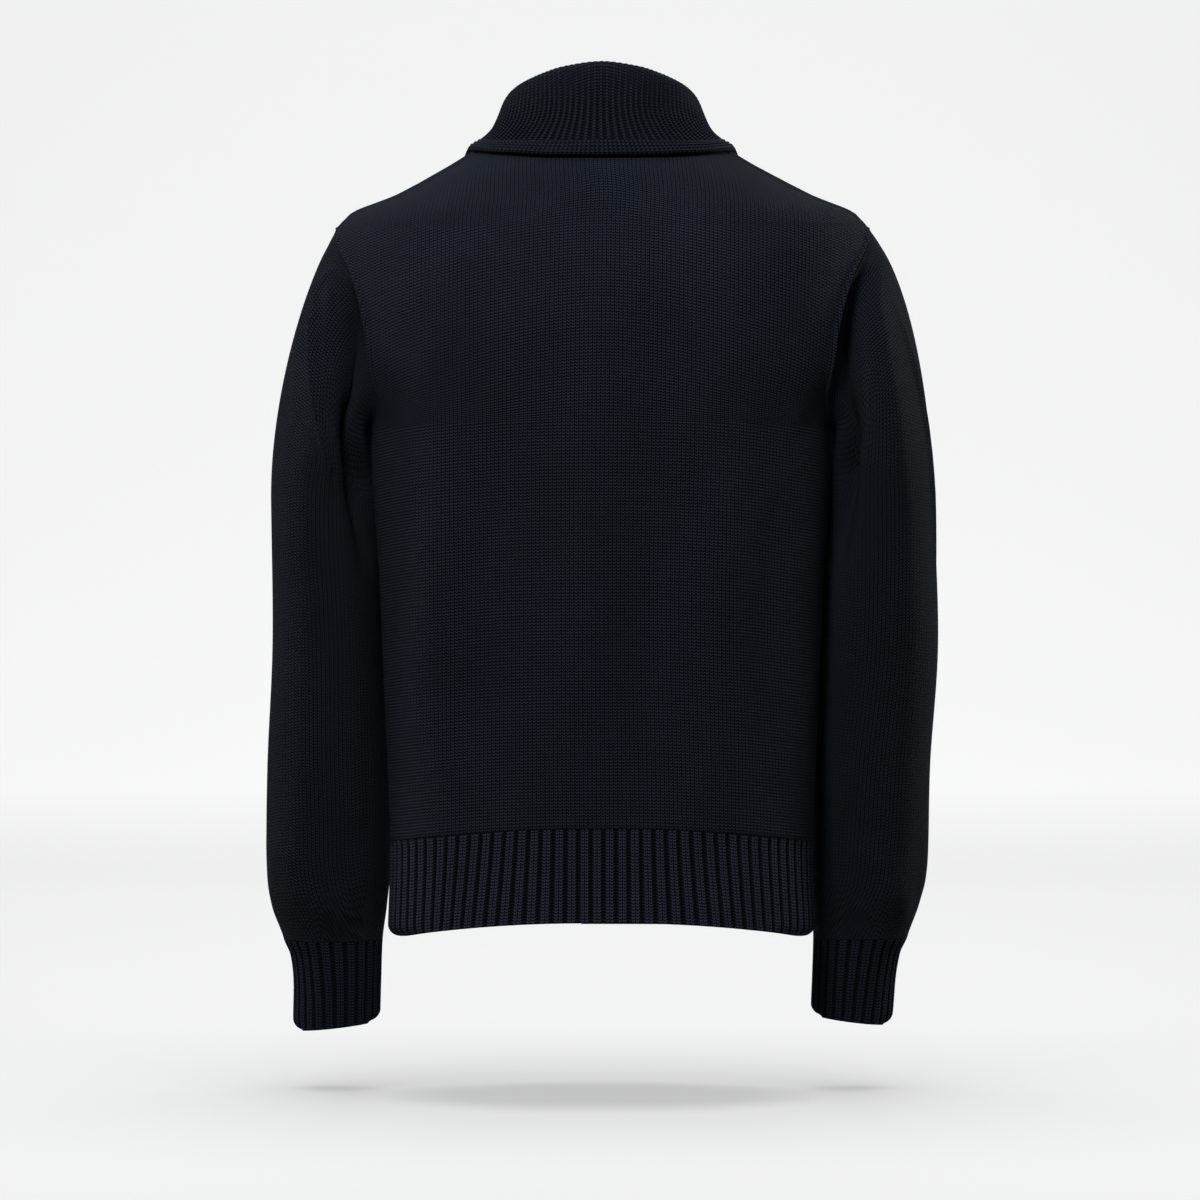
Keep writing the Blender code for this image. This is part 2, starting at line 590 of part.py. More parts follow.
def add_cuff(name, side, table):
    place, groove = rib_columns(CUFF_RIBS)
    rows = np.array([CUFF_LINE, CUFF_LINE + 0.7, float(CUFF_EDGE)])

    def face(angle, depth):
        points = np.array([arm_ring(table, side, angle, row) for row in rows])
        normals = grid_normals(points, side)
        normals[..., 2] = 0
        return points + unit(normals) * depth

    outer = face(360 * place / CUFF_RIBS, -RIB_DEPTH * groove[None, :, None])
    inner = face(360 * np.arange(CUFF_RIBS) / CUFF_RIBS, -RIB_WALL)
    wall(name, outer, inner, RIB_COLOUR, tube=True)


def add_arms():
    add_sleeve("sleeve_left", 1, LEFT_ARM, LEFT_CAP_PUSH, LEFT_ARM_FOLDS)
    add_sleeve("sleeve_right", -1, RIGHT_ARM, RIGHT_CAP_PUSH, RIGHT_ARM_FOLDS)
    add_cuff("cuff_left", 1, LEFT_ARM)
    add_cuff("cuff_right", -1, RIGHT_ARM)


# The bands and the buttons


def band_face(side, xs, levels, depth):
    """A band's face: across it the places xs (0 at its seam, 1 at its free edge), and up it the levels."""
    rows = np.array(NECKLINE)
    seam_x = np.interp(levels, rows[:, 0], rows[:, 1 if side > 0 else 2]) - CURVED_SEAM
    x = side * (seam_x[:, None] + (-BAND_EDGE_X - seam_x[:, None]) * xs)
    level = np.repeat(levels[:, None], len(xs), 1)
    angle = front_angle(x, level)
    lift = depth + (OVERLAP if side > 0 else 0.0) + 0 * x
    return body(angle, level) + body_normal(angle, level) * lift[..., None]


def add_band(name, side):
    """A button band: fine ribs that run across it, from the hem's edge up to the collar."""
    bottom = body(180.0, 0.0)[2]
    top = body(180.0, APEX_LEVEL)[2] - SEAM
    ribs = round((top - bottom) / FINE_RIB)
    level = front_level(0.0, np.linspace(bottom, top, 2 * ribs + 1))
    depth = -FINE_RIB_DEPTH * (np.arange(len(level)) % 2)
    kept = [*range(0, len(level) - 1, PLAIN_STEP), len(level) - 1]
    across = np.array([0.0, 1.0])
    outer = band_face(side, across, level, depth[:, None])
    inner = band_face(side, across, level[kept], -RIB_WALL)
    wall(name, outer, inner, RIB_COLOUR, kept)


def add_button(name, z):
    """A turned button that lies on the left band, facing straight out of it."""
    normal = body_normal(180.0, front_level(0.0, z))
    seat = front_place(0.0, z, BUTTON_SEAT)
    right = unit(np.cross([0.0, 0.0, 1.0], normal))
    up = np.cross(normal, right)
    turn = np.arange(BUTTON_SIDES) * 2 * math.pi / BUTTON_SIDES
    ring = np.cos(turn)[:, None] * right + np.sin(turn)[:, None] * up
    points = [seat[None, :]]
    points += [seat + radius * ring + height * normal for radius, height in BUTTON_PROFILE]
    points.append((seat + BUTTON_DISH * normal)[None, :])
    rings = 1 + np.arange(len(BUTTON_PROFILE) * BUTTON_SIDES).reshape(-1, BUTTON_SIDES)
    rings = np.hstack([rings, rings[:, :1]])
    last = rings.max() + 1
    faces = grid_faces(rings)
    faces += [(0, b, a) for a, b in zip(rings[0], rings[0, 1:])]
    faces += [(last, a, b) for a, b in zip(rings[-1], rings[-1, 1:])]
    add_object(name, np.vstack(points), faces, BUTTON_COLOUR, 0.35)


def add_fastening():
    add_band("band_left", 1)
    add_band("band_right", -1)
    for number, z in enumerate(np.linspace(BUTTON_TOP_Z, BUTTON_BOTTOM_Z, BUTTONS), 1):
        add_button(f"button_{number}", z)


# The collar


def neckline(share):
    """The collar's seam at each share of its length: the point, the cloth's normal and the way along."""
    rise = np.linspace(APEX_LEVEL, NECK, SAMPLES)
    left, right = front_edge_angle(rise, 1), front_edge_angle(rise, -1)
    neck = np.linspace(left[-1], -right[-1], SAMPLES)[1:-1]
    angle = np.concatenate([left, neck, -right[::-1]])
    level = np.concatenate([rise, np.full(len(neck), float(NECK)), rise[::-1]])
    points = cloth(angle, level, -KNIT / 2)
    length = np.concatenate([[0], np.cumsum(np.linalg.norm(np.diff(points, axis=0), axis=1))])
    at = np.interp(share * length[-1], length, np.arange(len(length)))

    def read(values):
        row = np.minimum(at.astype(int), len(values) - 2)
        return values[row] + (values[row + 1] - values[row]) * (at - row)[:, None]

    normal = unit(read(body_normal(angle, np.minimum(level, NECK - 0.01))))
    way = unit(read(np.gradient(points, length, axis=0)))
    return read(points), normal, way


def lying_on_front(points):
    """The points moved out until the collar's wall is clear of the fronts that it falls over."""
    x, y, z = points.T
    level = front_level(x, z)
    angle = front_angle(x, level)
    place, normal = body(angle, level), body_normal(angle, level)
    clear = overlap(place) + COLLAR_WALL / 2 + COLLAR_LIFT
    short = clear - np.sum((points - place) * normal, axis=1)
    in_front = smooth(-z, COLLAR_FREE_Z[0], COLLAR_FREE_Z[1]) * smooth(-y, 0, COLLAR_FREE_Y)
    return points + normal * (np.maximum(short, 0) * in_front)[:, None]


def collar_middle(share):
    """The collar's middle surface and its normal: rows go from the seam over the fold to the edge."""
    seam, _, way = neckline(share)
    table = np.array(COLLAR)
    station = Station(*along(COLLAR, np.interp(share, table[:, 0], np.arange(len(table)))).T)
    crest = np.stack([station.crest_x, station.crest_y, station.crest_z], -1)
    edge = np.stack([station.edge_x, station.edge_y, station.edge_z], -1)
    radius = station.radius[:, None]
    up = unit(crest - seam)
    out = unit(np.cross(way, up))
    rows, normals = [seam], [-out]
    for turn in np.radians(FOLD_TURNS):
        normals.append(np.cos(turn) * up + np.sin(turn) * out)
        rows.append(crest - radius * up + radius * normals[-1])
    start = rows[-1]
    control = start - up * np.linalg.norm(edge - start, axis=1, keepdims=True) * FALL_DROP
    for t in FALL_STEPS:
        rows.append(lying_on_front((1 - t) ** 2 * start + 2 * t * (1 - t) * control + t**2 * edge))
        down = 2 * (1 - t) * (control - start) + 2 * t * (edge - control)
        normals.append(unit(np.cross(down, way)))
    return np.array(rows), np.array(normals)


def collar_face(share, depth):
    """One face of the collar, out from its middle. Its first row lies on the panels' own edge."""
    rows, normals = collar_middle(share)
    face = rows + normals * depth[None, :, None]
    seam, normal, way = neckline(share)
    away = unit(np.cross(way, normal))
    away = away * np.sign(np.sum(away * (rows[1] - seam), axis=1, keepdims=True))
    face[0] = seam - np.sign(depth)[:, None] * normal * KNIT / 2 + away * COLLAR_GAP
    return face


def add_collar():
    share = np.linspace(0, 1, 2 * COLLAR_RIBS + 1)
    groove = np.arange(len(share)) % 2
    ribbed = collar_face(share, COLLAR_WALL / 2 - FINE_RIB_DEPTH * groove)
    share = share[::PLAIN_STEP]
    plain = collar_face(share, np.full(len(share), -COLLAR_WALL / 2))
    wall("collar", ribbed, plain, RIB_COLOUR)


def main():
    for leftover in list(bpy.data.objects):
        bpy.data.objects.remove(leftover)
    add_panels()
    add_hem()
    add_arms()
    add_fastening()
    add_collar()


main()
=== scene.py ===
# %% [markdown]
# # A knitted cardigan with a shawl collar
#
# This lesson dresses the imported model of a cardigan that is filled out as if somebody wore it. The
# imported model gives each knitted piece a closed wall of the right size. Here every one of those walls
# is drawn again with many more points, so that ribs, seams and soft folds are real relief, and then it
# gets a material that knows about stitches.
#
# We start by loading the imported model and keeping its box, to compare ours with it at the end.

import math
from collections import namedtuple

import bpy
import numpy as np
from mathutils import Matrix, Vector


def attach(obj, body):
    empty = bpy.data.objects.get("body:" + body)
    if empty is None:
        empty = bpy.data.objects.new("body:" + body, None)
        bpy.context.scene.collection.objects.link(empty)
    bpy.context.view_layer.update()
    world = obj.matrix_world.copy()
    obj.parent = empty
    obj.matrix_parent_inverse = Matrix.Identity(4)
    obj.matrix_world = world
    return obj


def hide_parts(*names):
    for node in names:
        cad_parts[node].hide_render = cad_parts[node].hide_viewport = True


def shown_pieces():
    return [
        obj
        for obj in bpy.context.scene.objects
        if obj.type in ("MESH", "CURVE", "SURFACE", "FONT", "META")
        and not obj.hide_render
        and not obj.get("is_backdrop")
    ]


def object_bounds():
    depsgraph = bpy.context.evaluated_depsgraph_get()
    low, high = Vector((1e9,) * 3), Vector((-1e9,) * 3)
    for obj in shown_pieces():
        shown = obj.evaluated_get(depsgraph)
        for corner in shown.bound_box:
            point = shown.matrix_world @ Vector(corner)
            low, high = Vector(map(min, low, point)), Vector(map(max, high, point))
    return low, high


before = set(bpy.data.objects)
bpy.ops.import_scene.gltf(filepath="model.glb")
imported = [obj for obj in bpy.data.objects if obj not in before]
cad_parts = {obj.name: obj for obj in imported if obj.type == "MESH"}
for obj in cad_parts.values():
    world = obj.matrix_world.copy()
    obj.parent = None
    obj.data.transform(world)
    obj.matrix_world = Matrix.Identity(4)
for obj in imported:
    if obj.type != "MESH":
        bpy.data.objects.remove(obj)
cad_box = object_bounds()
print("packed nodes:", sorted(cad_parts))
print("box of the packed model:", cad_box)

# %% [markdown]
# ## The camera
#
# The photograph looks level at the middle of the back, from a few metres away. In our frame the back
# faces +Y, so the camera stands at +Y and is turned half way round. A long lens keeps the two sleeves
# upright, as they are in the picture.

# %% Place the camera
CAMERA_AWAY = 3.2
CAMERA_Z = -0.3944
SEEN_WIDTH = 1.008  # how much of the world fits across the picture at the origin

camera_data = bpy.data.cameras.new("camera")
camera_data.sensor_width = 36.0
camera_data.lens = 36.0 * CAMERA_AWAY / SEEN_WIDTH
camera_data.shift_x = -1.5 / 1200
camera = bpy.data.objects.new("camera", camera_data)
camera.location = (0.0, CAMERA_AWAY, CAMERA_Z)
camera.rotation_euler = (math.radians(90), 0.0, math.radians(180))
bpy.context.collection.objects.link(camera)
bpy.context.scene.camera = camera
print("lens:", round(camera_data.lens, 1), "mm")

# %% [markdown]
# ## The body as a stack of rings
#
# A worn garment is easiest to describe by the rings that a tape measure would follow: at the hem, the
# waist, the armpit, the shoulder tips and the neck. Each ring is a superellipse, a little squarer than
# an ellipse low down and a plain ellipse at the neck. A smooth curve through the table gives a ring at
# any level in between, and an angle picks the point on it. All the panels, the ribs and the collar's
# seam are cut from this one surface, so they meet.

# %% The rings of the body
Ring = namedtuple(
    "Ring", "side_z back_z front_z half_width back_depth front_depth centre_x centre_y squareness"
)
BODY = (
    Ring(-0.6750, -0.6570, -0.6760, 0.1795, 0.107, 0.113, 0.0000, 0.000, 2.30),  # hem edge
    Ring(-0.5960, -0.5810, -0.6000, 0.1775, 0.105, 0.112, 0.0000, 0.000, 2.30),  # hem line
    Ring(-0.4900, -0.4800, -0.4920, 0.1815, 0.108, 0.116, 0.0000, 0.000, 2.30),  # waist
    Ring(-0.3700, -0.3620, -0.3700, 0.1865, 0.114, 0.121, 0.0000, 0.001, 2.30),  # ribcage
    Ring(-0.2520, -0.2500, -0.2520, 0.1905, 0.120, 0.122, 0.0000, 0.002, 2.25),  # armpit
    Ring(-0.1950, -0.1900, -0.1900, 0.2130, 0.118, 0.114, 0.0000, 0.004, 2.20),  # shoulder blades
    Ring(-0.1350, -0.1280, -0.1250, 0.2235, 0.110, 0.101, -0.0005, 0.007, 2.10),  # middle of the armholes
    Ring(-0.0820, -0.0860, -0.0700, 0.2215, 0.095, 0.082, -0.0010, 0.010, 2.00),  # shoulder tips
    Ring(-0.0570, -0.0620, -0.0500, 0.1710, 0.084, 0.066, -0.0020, 0.012, 2.00),  # yoke
    Ring(-0.0300, -0.0400, -0.0370, 0.1220, 0.072, 0.052, -0.0005, 0.013, 2.00),  # slope of the neck
    Ring(-0.0060, -0.0220, -0.0330, 0.0880, 0.056, 0.045, 0.0000, 0.010, 2.00),  # neck
)
ARMPIT, SHOULDER_TIP, NECK = 4.0, 7.0, 10.0


def along(table, place):
    """The table's columns at any place between its rows: a Catmull-Rom curve, the cubic that passes
    through each row in the direction of its two neighbours."""
    points = np.array(table, float)
    padded = np.vstack([2 * points[0] - points[1], points, 2 * points[-1] - points[-2]])
    place = np.clip(np.asarray(place, float), 0, len(points) - 1)
    row = np.minimum(place.astype(int), len(points) - 2)
    t = (place - row)[..., None]
    before, start, end, after = (padded[row + k] for k in range(4))
    straight = (end - before) * t
    bend = (2 * before - 5 * start + 4 * end - after) * t**2
    turn = (3 * start - before - 3 * end + after) * t**3
    return 0.5 * (2 * start + straight + bend + turn)


def smooth(value, start, end):
    """0 before start, 1 after end, and between them 3t^2 - 2t^3."""
    t = np.clip((value - start) / (end - start), 0, 1)
    return t * t * (3 - 2 * t)


def unit(vectors):
    """Each vector over its own length."""
    return vectors / np.linalg.norm(vectors, axis=-1, keepdims=True)


def body(angle, level):
    """A point of the body. On the ring of that level, x is half_width times sin(angle) to the power
    2/squareness, and y is the depth times cos(angle) to the same power. The height runs from the
    side's to the middle's with cos(angle) squared. Angle 0 is the middle of the back."""
    angle, level = np.broadcast_arrays(np.asarray(angle, float), np.asarray(level, float))
    ring = Ring(*np.moveaxis(along(BODY, level), -1, 0))
    sine, cosine = np.sin(np.radians(angle)), np.cos(np.radians(angle))
    behind = cosine > 0
    power = 2 / ring.squareness
    depth = np.where(behind, ring.back_depth, ring.front_depth)
    end_z = np.where(behind, ring.back_z, ring.front_z)
    x = ring.centre_x + ring.half_width * np.sign(sine) * np.abs(sine) ** power
    y = ring.centre_y + depth * np.sign(cosine) * np.abs(cosine) ** power
    z = ring.side_z + (end_z - ring.side_z) * cosine**2
    return np.stack([x, y, z], -1)


def body_normal(angle, level):
    """The outward direction: the step up the body crossed with the step round it."""
    round_step = body(angle + 0.01, level) - body(angle - 0.01, level)
    up_step = body(angle, level + 0.002) - body(angle, level - 0.002)
    return unit(np.cross(up_step, round_step))


back_half = np.diff(body(np.linspace(-90, 90, 400), ARMPIT), axis=0)
print("chest:", round(float(2 * np.linalg.norm(back_half, axis=1).sum()), 3), "m round, twice the back")

# %% [markdown]
# ## Closed walls of cloth
#
# A knitted panel is a sheet, but its edges show that it is a few millimetres thick. So a piece is made
# from two grids of points, an outer face and an inner face, and rims that join them. The inner face
# may be coarser round the ring: each rim polygon then has several outer points and two inner ones.
#
# Every corner also gets a place in stitches, kept as a UV map: how many columns of stitches across, and
# how many rows up. The material reads it, so a stitch is the same size everywhere on the garment. On a
# tube the first and the last column share their points but not their place in stitches.

# %% Build a wall from two grids
def quads(rows, columns):
    """The corner numbers of every quad of a grid."""
    corner = np.arange(rows * columns).reshape(rows, columns)
    square = corner[:-1, :-1], corner[:-1, 1:], corner[1:, 1:], corner[1:, :-1]
    return np.stack(square, -1).reshape(-1, 4)


def rim(outer_row, inner_row):
    """Polygons between two rows of corners, the first with a whole number of steps to each of the other's."""
    step = (len(outer_row) - 1) // (len(inner_row) - 1)
    starts = np.arange(len(inner_row) - 1) * step
    outer_part = outer_row[starts[:, None] + np.arange(step + 1)]
    inner_part = np.stack([inner_row[1:], inner_row[:-1]], -1)
    return np.hstack([outer_part, inner_part])


def signed_volume(points, faces):
    """The volume inside the faces: the sum of (a x b) . c / 6 over fans of triangles."""
    total = 0.0
    for group in faces:
        fixed = points[group[:, 0]]
        for k in range(1, group.shape[1] - 1):
            second, third = points[group[:, k]], points[group[:, k + 1]]
            total += np.sum(np.cross(fixed, second) * third) / 6
    return total


def mesh_object(name, points, faces, corner_points, stitches):
    """A mesh from groups of faces given as corner numbers, turned so that it faces outwards."""
    if signed_volume(points[corner_points], faces) < 0:
        faces = [group[:, ::-1] for group in faces]
    sizes = np.concatenate([np.full(len(group), group.shape[1]) for group in faces])
    corners = np.concatenate([group.reshape(-1) for group in faces])
    mesh = bpy.data.meshes.new(name)
    mesh.vertices.add(len(points))
    mesh.vertices.foreach_set("co", points.astype(np.float32).reshape(-1))
    mesh.loops.add(len(corners))
    mesh.loops.foreach_set("vertex_index", corner_points[corners].astype(np.int32))
    mesh.polygons.add(len(sizes))
    mesh.polygons.foreach_set("loop_start", (np.cumsum(sizes) - sizes).astype(np.int32))
    uv = mesh.uv_layers.new(name="stitches")
    mesh.update(calc_edges=True)
    uv.uv.foreach_set("vector", stitches[corners].astype(np.float32).reshape(-1))
    mesh.validate()
    mesh.shade_smooth()
    made = bpy.data.objects.new(name, mesh)
    bpy.context.collection.objects.link(made)
    return made


def wall(name, outer, inner, outer_stitches, inner_stitches, tube=False):
    """A closed wall between two grids with the same number of rows."""
    if tube:
        outer, inner = outer[:, :-1], inner[:, :-1]

    def corners(grid, columns, first):
        number = np.arange(grid.shape[0] * grid.shape[1]).reshape(grid.shape[:2]) + first
        return number[:, np.arange(columns) % grid.shape[1]].reshape(-1)

    rows, wide, narrow = outer.shape[0], outer_stitches.shape[1], inner_stitches.shape[1]
    corner_points = np.concatenate(
        [corners(outer, wide, 0), corners(inner, narrow, outer.shape[0] * outer.shape[1])]
    )
    a = np.arange(rows * wide).reshape(rows, wide)
    b = np.arange(rows * narrow).reshape(rows, narrow) + rows * wide
    faces = [quads(rows, wide), quads(rows, narrow)[:, ::-1] + rows * wide]
    faces += [rim(a[0], b[0])[:, ::-1], rim(a[-1], b[-1])]
    if not tube:
        faces += [rim(a[:, 0], b[:, 0]), rim(a[:, -1], b[:, -1])[:, ::-1]]
    points = np.vstack([outer.reshape(-1, 3), inner.reshape(-1, 3)])
    stitches = np.vstack([outer_stitches.reshape(-1, 2), inner_stitches.reshape(-1, 2)])
    return mesh_object(name, points, faces, corner_points, stitches)


# %% Measure a grid along its rows and columns
WALE = 0.0035  # width of one column of stitches
COURSE = 0.00256  # height of one row of stitches


def lengths(points, axis):
    """How far each point lies from the grid's first row or column, measured along the cloth."""
    steps = np.linalg.norm(np.diff(points, axis=axis), axis=-1)
    total = np.cumsum(steps, axis=axis)
    first = np.zeros_like(np.take(total, [0], axis=axis))
    return np.concatenate([first, total], axis=axis)


def in_stitches(points):
    """A grid's places in stitches: columns counted from the middle of each row, rows from the first."""
    across, down = lengths(points, 1), lengths(points, 0)
    middle = across[:, -1:] / 2
    return np.stack([(across - middle) / WALE, down / COURSE], -1)


def rounded(distance, radius):
    """How far a surface falls towards an edge: a quarter circle of that radius at the edge itself."""
    t = np.clip(1 - distance / radius, 0, 1)
    return radius * (1 - np.sqrt(1 - t * t))


# %% [markdown]
# ## Yarn and stitches
#
# Plain knitting is columns of Vs. Each V is two legs of yarn that lean outwards from the middle of the
# column, and each leg tucks under the next. We can draw that with arithmetic: the distance from the
# middle of the column says which leg we are on, a slanted saw-tooth along the column says where on it,
# and two round profiles multiplied together give its height. The shader node group below does this
# once, and every knitted material uses it for its bump and for the shade painted into its colour,
# dark between the stitches and in the grooves of the ribs.

# %% The group that draws the stitches
def new_group(name, inputs, outputs):
    """An empty shader node group with named sockets."""
    group = bpy.data.node_groups.new(name, "ShaderNodeTree")
    for label, kind, value in inputs:
        socket = group.interface.new_socket(label, in_out="INPUT", socket_type=kind)
        if value is not None:
            socket.default_value = value
    for label, kind in outputs:
        group.interface.new_socket(label, in_out="OUTPUT", socket_type=kind)
    return group, group.nodes.new("NodeGroupInput"), group.nodes.new("NodeGroupOutput")


def math_node(tree, operation, first, second=None, clamp=False):
    """One Math node: its inputs are sockets or numbers, and it gives back its output socket."""
    node = tree.nodes.new("ShaderNodeMath")
    node.operation = operation
    node.use_clamp = clamp
    for socket, value in zip(node.inputs, (first, second)):
        if isinstance(value, (int, float)):
            socket.default_value = value
        elif value is not None:
            tree.links.new(value, socket)
    return node.outputs[0]


def mix_colour(tree, factor, first, second, blend="MIX"):
    """One colour Mix node: each input is a socket, a number or a colour. It gives back its output."""
    node = tree.nodes.new("ShaderNodeMix")
    node.data_type, node.blend_type = "RGBA", blend
    for socket, value in zip((node.inputs[0], node.inputs[6], node.inputs[7]), (factor, first, second)):
        if isinstance(value, (int, float, tuple)):
            socket.default_value = value
        else:
            tree.links.new(value, socket)
    return node.outputs[2]


def hump(tree, value):
    """1 in the middle of each whole number, 0 at its ends: 1 - (2 fract(value) - 1)^2."""
    saw = math_node(tree, "FRACT", value)
    centred = math_node(tree, "MULTIPLY_ADD", saw, 2.0)
    centred.node.inputs[2].default_value = -1.0
    squared = math_node(tree, "MULTIPLY", centred, centred)
    return math_node(tree, "SUBTRACT", 1.0, squared, clamp=True)


def stitch_group():
    """Height of plain knitting from a place in stitches, and the shade painted between its stitches and in its
    grooves.
    """
    group, inside, out = new_group(
        "plain_knitting",
        [
            ("Place", "NodeSocketVector", None),
            ("Slant", "NodeSocketFloat", 1.0),
            ("Unevenness", "NodeSocketFloat", 0.1),
            ("Columns", "NodeSocketFloat", 1.0),
            ("Purl", "NodeSocketFloat", 0.0),
            ("Groove_shade", "NodeSocketFloat", 0.7),
        ],
        [("Height", "NodeSocketFloat"), ("Shade", "NodeSocketFloat")],
    )
    wobble = group.nodes.new("ShaderNodeTexNoise")
    wobble.inputs["Scale"].default_value = 0.35
    wobble.inputs["Detail"].default_value = 2.0
    group.links.new(inside.outputs["Place"], wobble.inputs["Vector"])
    off = math_node(group, "SUBTRACT", wobble.outputs["Fac"], 0.5)
    off = math_node(group, "MULTIPLY", off, inside.outputs["Unevenness"])
    place = group.nodes.new("ShaderNodeSeparateXYZ")
    group.links.new(inside.outputs["Place"], place.inputs[0])
    column = math_node(group, "ADD", place.outputs["X"], off)
    side = math_node(group, "SUBTRACT", math_node(group, "FRACT", column), 0.5)
    side = math_node(group, "ABSOLUTE", side)
    leg = hump(group, math_node(group, "MULTIPLY", side, 2.0))
    rise = math_node(group, "MULTIPLY", side, inside.outputs["Slant"])
    row = math_node(group, "SUBTRACT", place.outputs["Y"], rise)
    strand = hump(group, math_node(group, "ADD", row, off))
    leg = math_node(group, "MULTIPLY_ADD", leg, 0.35)
    leg.node.inputs[2].default_value = 0.65
    gap = math_node(group, "MULTIPLY_ADD", math_node(group, "POWER", hump(group, column), 0.45), 0.6)
    gap.node.inputs[2].default_value = 0.4
    leg = math_node(group, "MULTIPLY", leg, gap)
    strand = math_node(group, "POWER", strand, 0.7)
    dip = math_node(group, "MULTIPLY_ADD", strand, 0.92)
    dip.node.inputs[2].default_value = 0.08
    plain = math_node(group, "MULTIPLY", leg, dip)
    within = math_node(group, "FLOORED_MODULO", math_node(group, "FLOOR", column), inside.outputs["Columns"])
    last = math_node(group, "SUBTRACT", inside.outputs["Columns"], 1.5)
    turned_column = math_node(group, "GREATER_THAN", within, last)
    purl = math_node(group, "MULTIPLY", turned_column, inside.outputs["Purl"])
    bar = math_node(group, "POWER", hump(group, math_node(group, "ADD", place.outputs["Y"], 0.5)), 0.7)
    bar = math_node(group, "MULTIPLY", bar, 0.6)
    change = math_node(group, "MULTIPLY", math_node(group, "SUBTRACT", bar, plain), purl)
    height = math_node(group, "ADD", plain, change)
    group.links.new(height, out.inputs["Height"])
    # The middle of each purl column is darkened: painted shade in the grooves of the ribs.
    groove = math_node(group, "MULTIPLY", hump(group, column), purl)
    lit = math_node(group, "SUBTRACT", 1.0, math_node(group, "MULTIPLY", groove, inside.outputs["Groove_shade"]))
    shade = math_node(group, "MULTIPLY", math_node(group, "POWER", height, 2.4), lit)
    group.links.new(shade, out.inputs["Shade"])
    return group


stitches_group = stitch_group()
print("stitch group:", len(stitches_group.nodes), "nodes")


# %% [markdown]
# ## The two knitted finishes
#
# The yarn is a heavy cotton, almost black with a breath of blue. Cotton has no gloss, but its short
# loose fibres catch the light where the cloth turns away from us, and Principled's sheen is made for
# that. The hollows between the stitches are painted darker than the crowns, as shade, and so are the
# grooves of the ribs. A soft cloudy noise keeps a large plain surface from looking printed.

# %% Make the yarn's materials
def yarn_material(name, crown, hollow, depth, columns=1.0, purl=0.0, slant=1.0, groove=0.75, fold=None):
    """A knitted finish: crown and hollow are linear colours, the hollow one painted shade between the
    stitches, depth is the stitches' relief in metres and groove how far painted shade darkens the purl
    grooves. Between the two heights of a fold the ribs stretch flat."""
    material = bpy.data.materials.new(name)
    material.use_nodes = True
    tree = material.node_tree
    finish = tree.nodes["Principled BSDF"]
    finish.inputs["Roughness"].default_value = 0.92
    finish.inputs["Specular IOR Level"].default_value = 0.02
    finish.inputs["Sheen Weight"].default_value = 0.008
    finish.inputs["Sheen Roughness"].default_value = 0.42
    finish.inputs["Sheen Tint"].default_value = (0.62, 0.68, 0.92, 1.0)
    place = tree.nodes.new("ShaderNodeUVMap")
    place.uv_map = "stitches"
    knitting = tree.nodes.new("ShaderNodeGroup")
    knitting.node_tree = stitches_group
    for label, value in (("Slant", slant), ("Columns", columns), ("Purl", purl), ("Groove_shade", groove)):
        knitting.inputs[label].default_value = value
    tree.links.new(place.outputs["UV"], knitting.inputs["Place"])
    where = tree.nodes.new("ShaderNodeTexCoord")
    if fold:
        height = tree.nodes.new("ShaderNodeSeparateXYZ")
        tree.links.new(where.outputs["Object"], height.inputs[0])
        stretch = tree.nodes.new("ShaderNodeMapRange")
        stretch.interpolation_type = "SMOOTHSTEP"
        flattened = 0.25 * purl
        ends = (("From Min", fold[0]), ("From Max", fold[1]), ("To Min", purl), ("To Max", flattened))
        for label, value in ends:
            stretch.inputs[label].default_value = value
        tree.links.new(height.outputs["Z"], stretch.inputs["Value"])
        tree.links.new(stretch.outputs["Result"], knitting.inputs["Purl"])
    cloud = tree.nodes.new("ShaderNodeTexNoise")
    cloud.inputs["Scale"].default_value = 16.0
    cloud.inputs["Detail"].default_value = 5.0
    tree.links.new(where.outputs["Object"], cloud.inputs["Vector"])
    lint = tree.nodes.new("ShaderNodeTexNoise")
    lint.inputs["Scale"].default_value = 1400.0
    lint.inputs["Detail"].default_value = 2.0
    tree.links.new(where.outputs["Object"], lint.inputs["Vector"])
    # Painted shade: the colour falls from the crown to the near-black hollow colour between the stitches.
    shade = mix_colour(tree, knitting.outputs["Shade"], hollow, crown)
    mottle = math_node(tree, "MULTIPLY_ADD", cloud.outputs["Fac"], 0.5)
    mottle.node.inputs[2].default_value = 0.75
    cloudy = mix_colour(tree, 1.0, shade, mottle, "MULTIPLY")
    drift = tree.nodes.new("ShaderNodeTexNoise")
    drift.inputs["Scale"].default_value = 7.0
    drift.inputs["Detail"].default_value = 3.0
    tree.links.new(where.outputs["Object"], drift.inputs["Vector"])
    tint = mix_colour(tree, drift.outputs["Fac"], (0.66, 1.06, 1.02, 1.0), (1.30, 0.96, 1.02, 1.0))
    tinted = mix_colour(tree, 1.0, cloudy, tint, "MULTIPLY")
    tree.links.new(tinted, finish.inputs["Base Color"])
    fibres = math_node(tree, "MULTIPLY_ADD", lint.outputs["Fac"], 0.25)
    tree.links.new(knitting.outputs["Height"], fibres.node.inputs[2])
    bump = tree.nodes.new("ShaderNodeBump")
    bump.inputs["Strength"].default_value = 1.0
    bump.inputs["Distance"].default_value = depth
    tree.links.new(fibres, bump.inputs["Height"])
    tree.links.new(bump.outputs["Normal"], finish.inputs["Normal"])
    return material


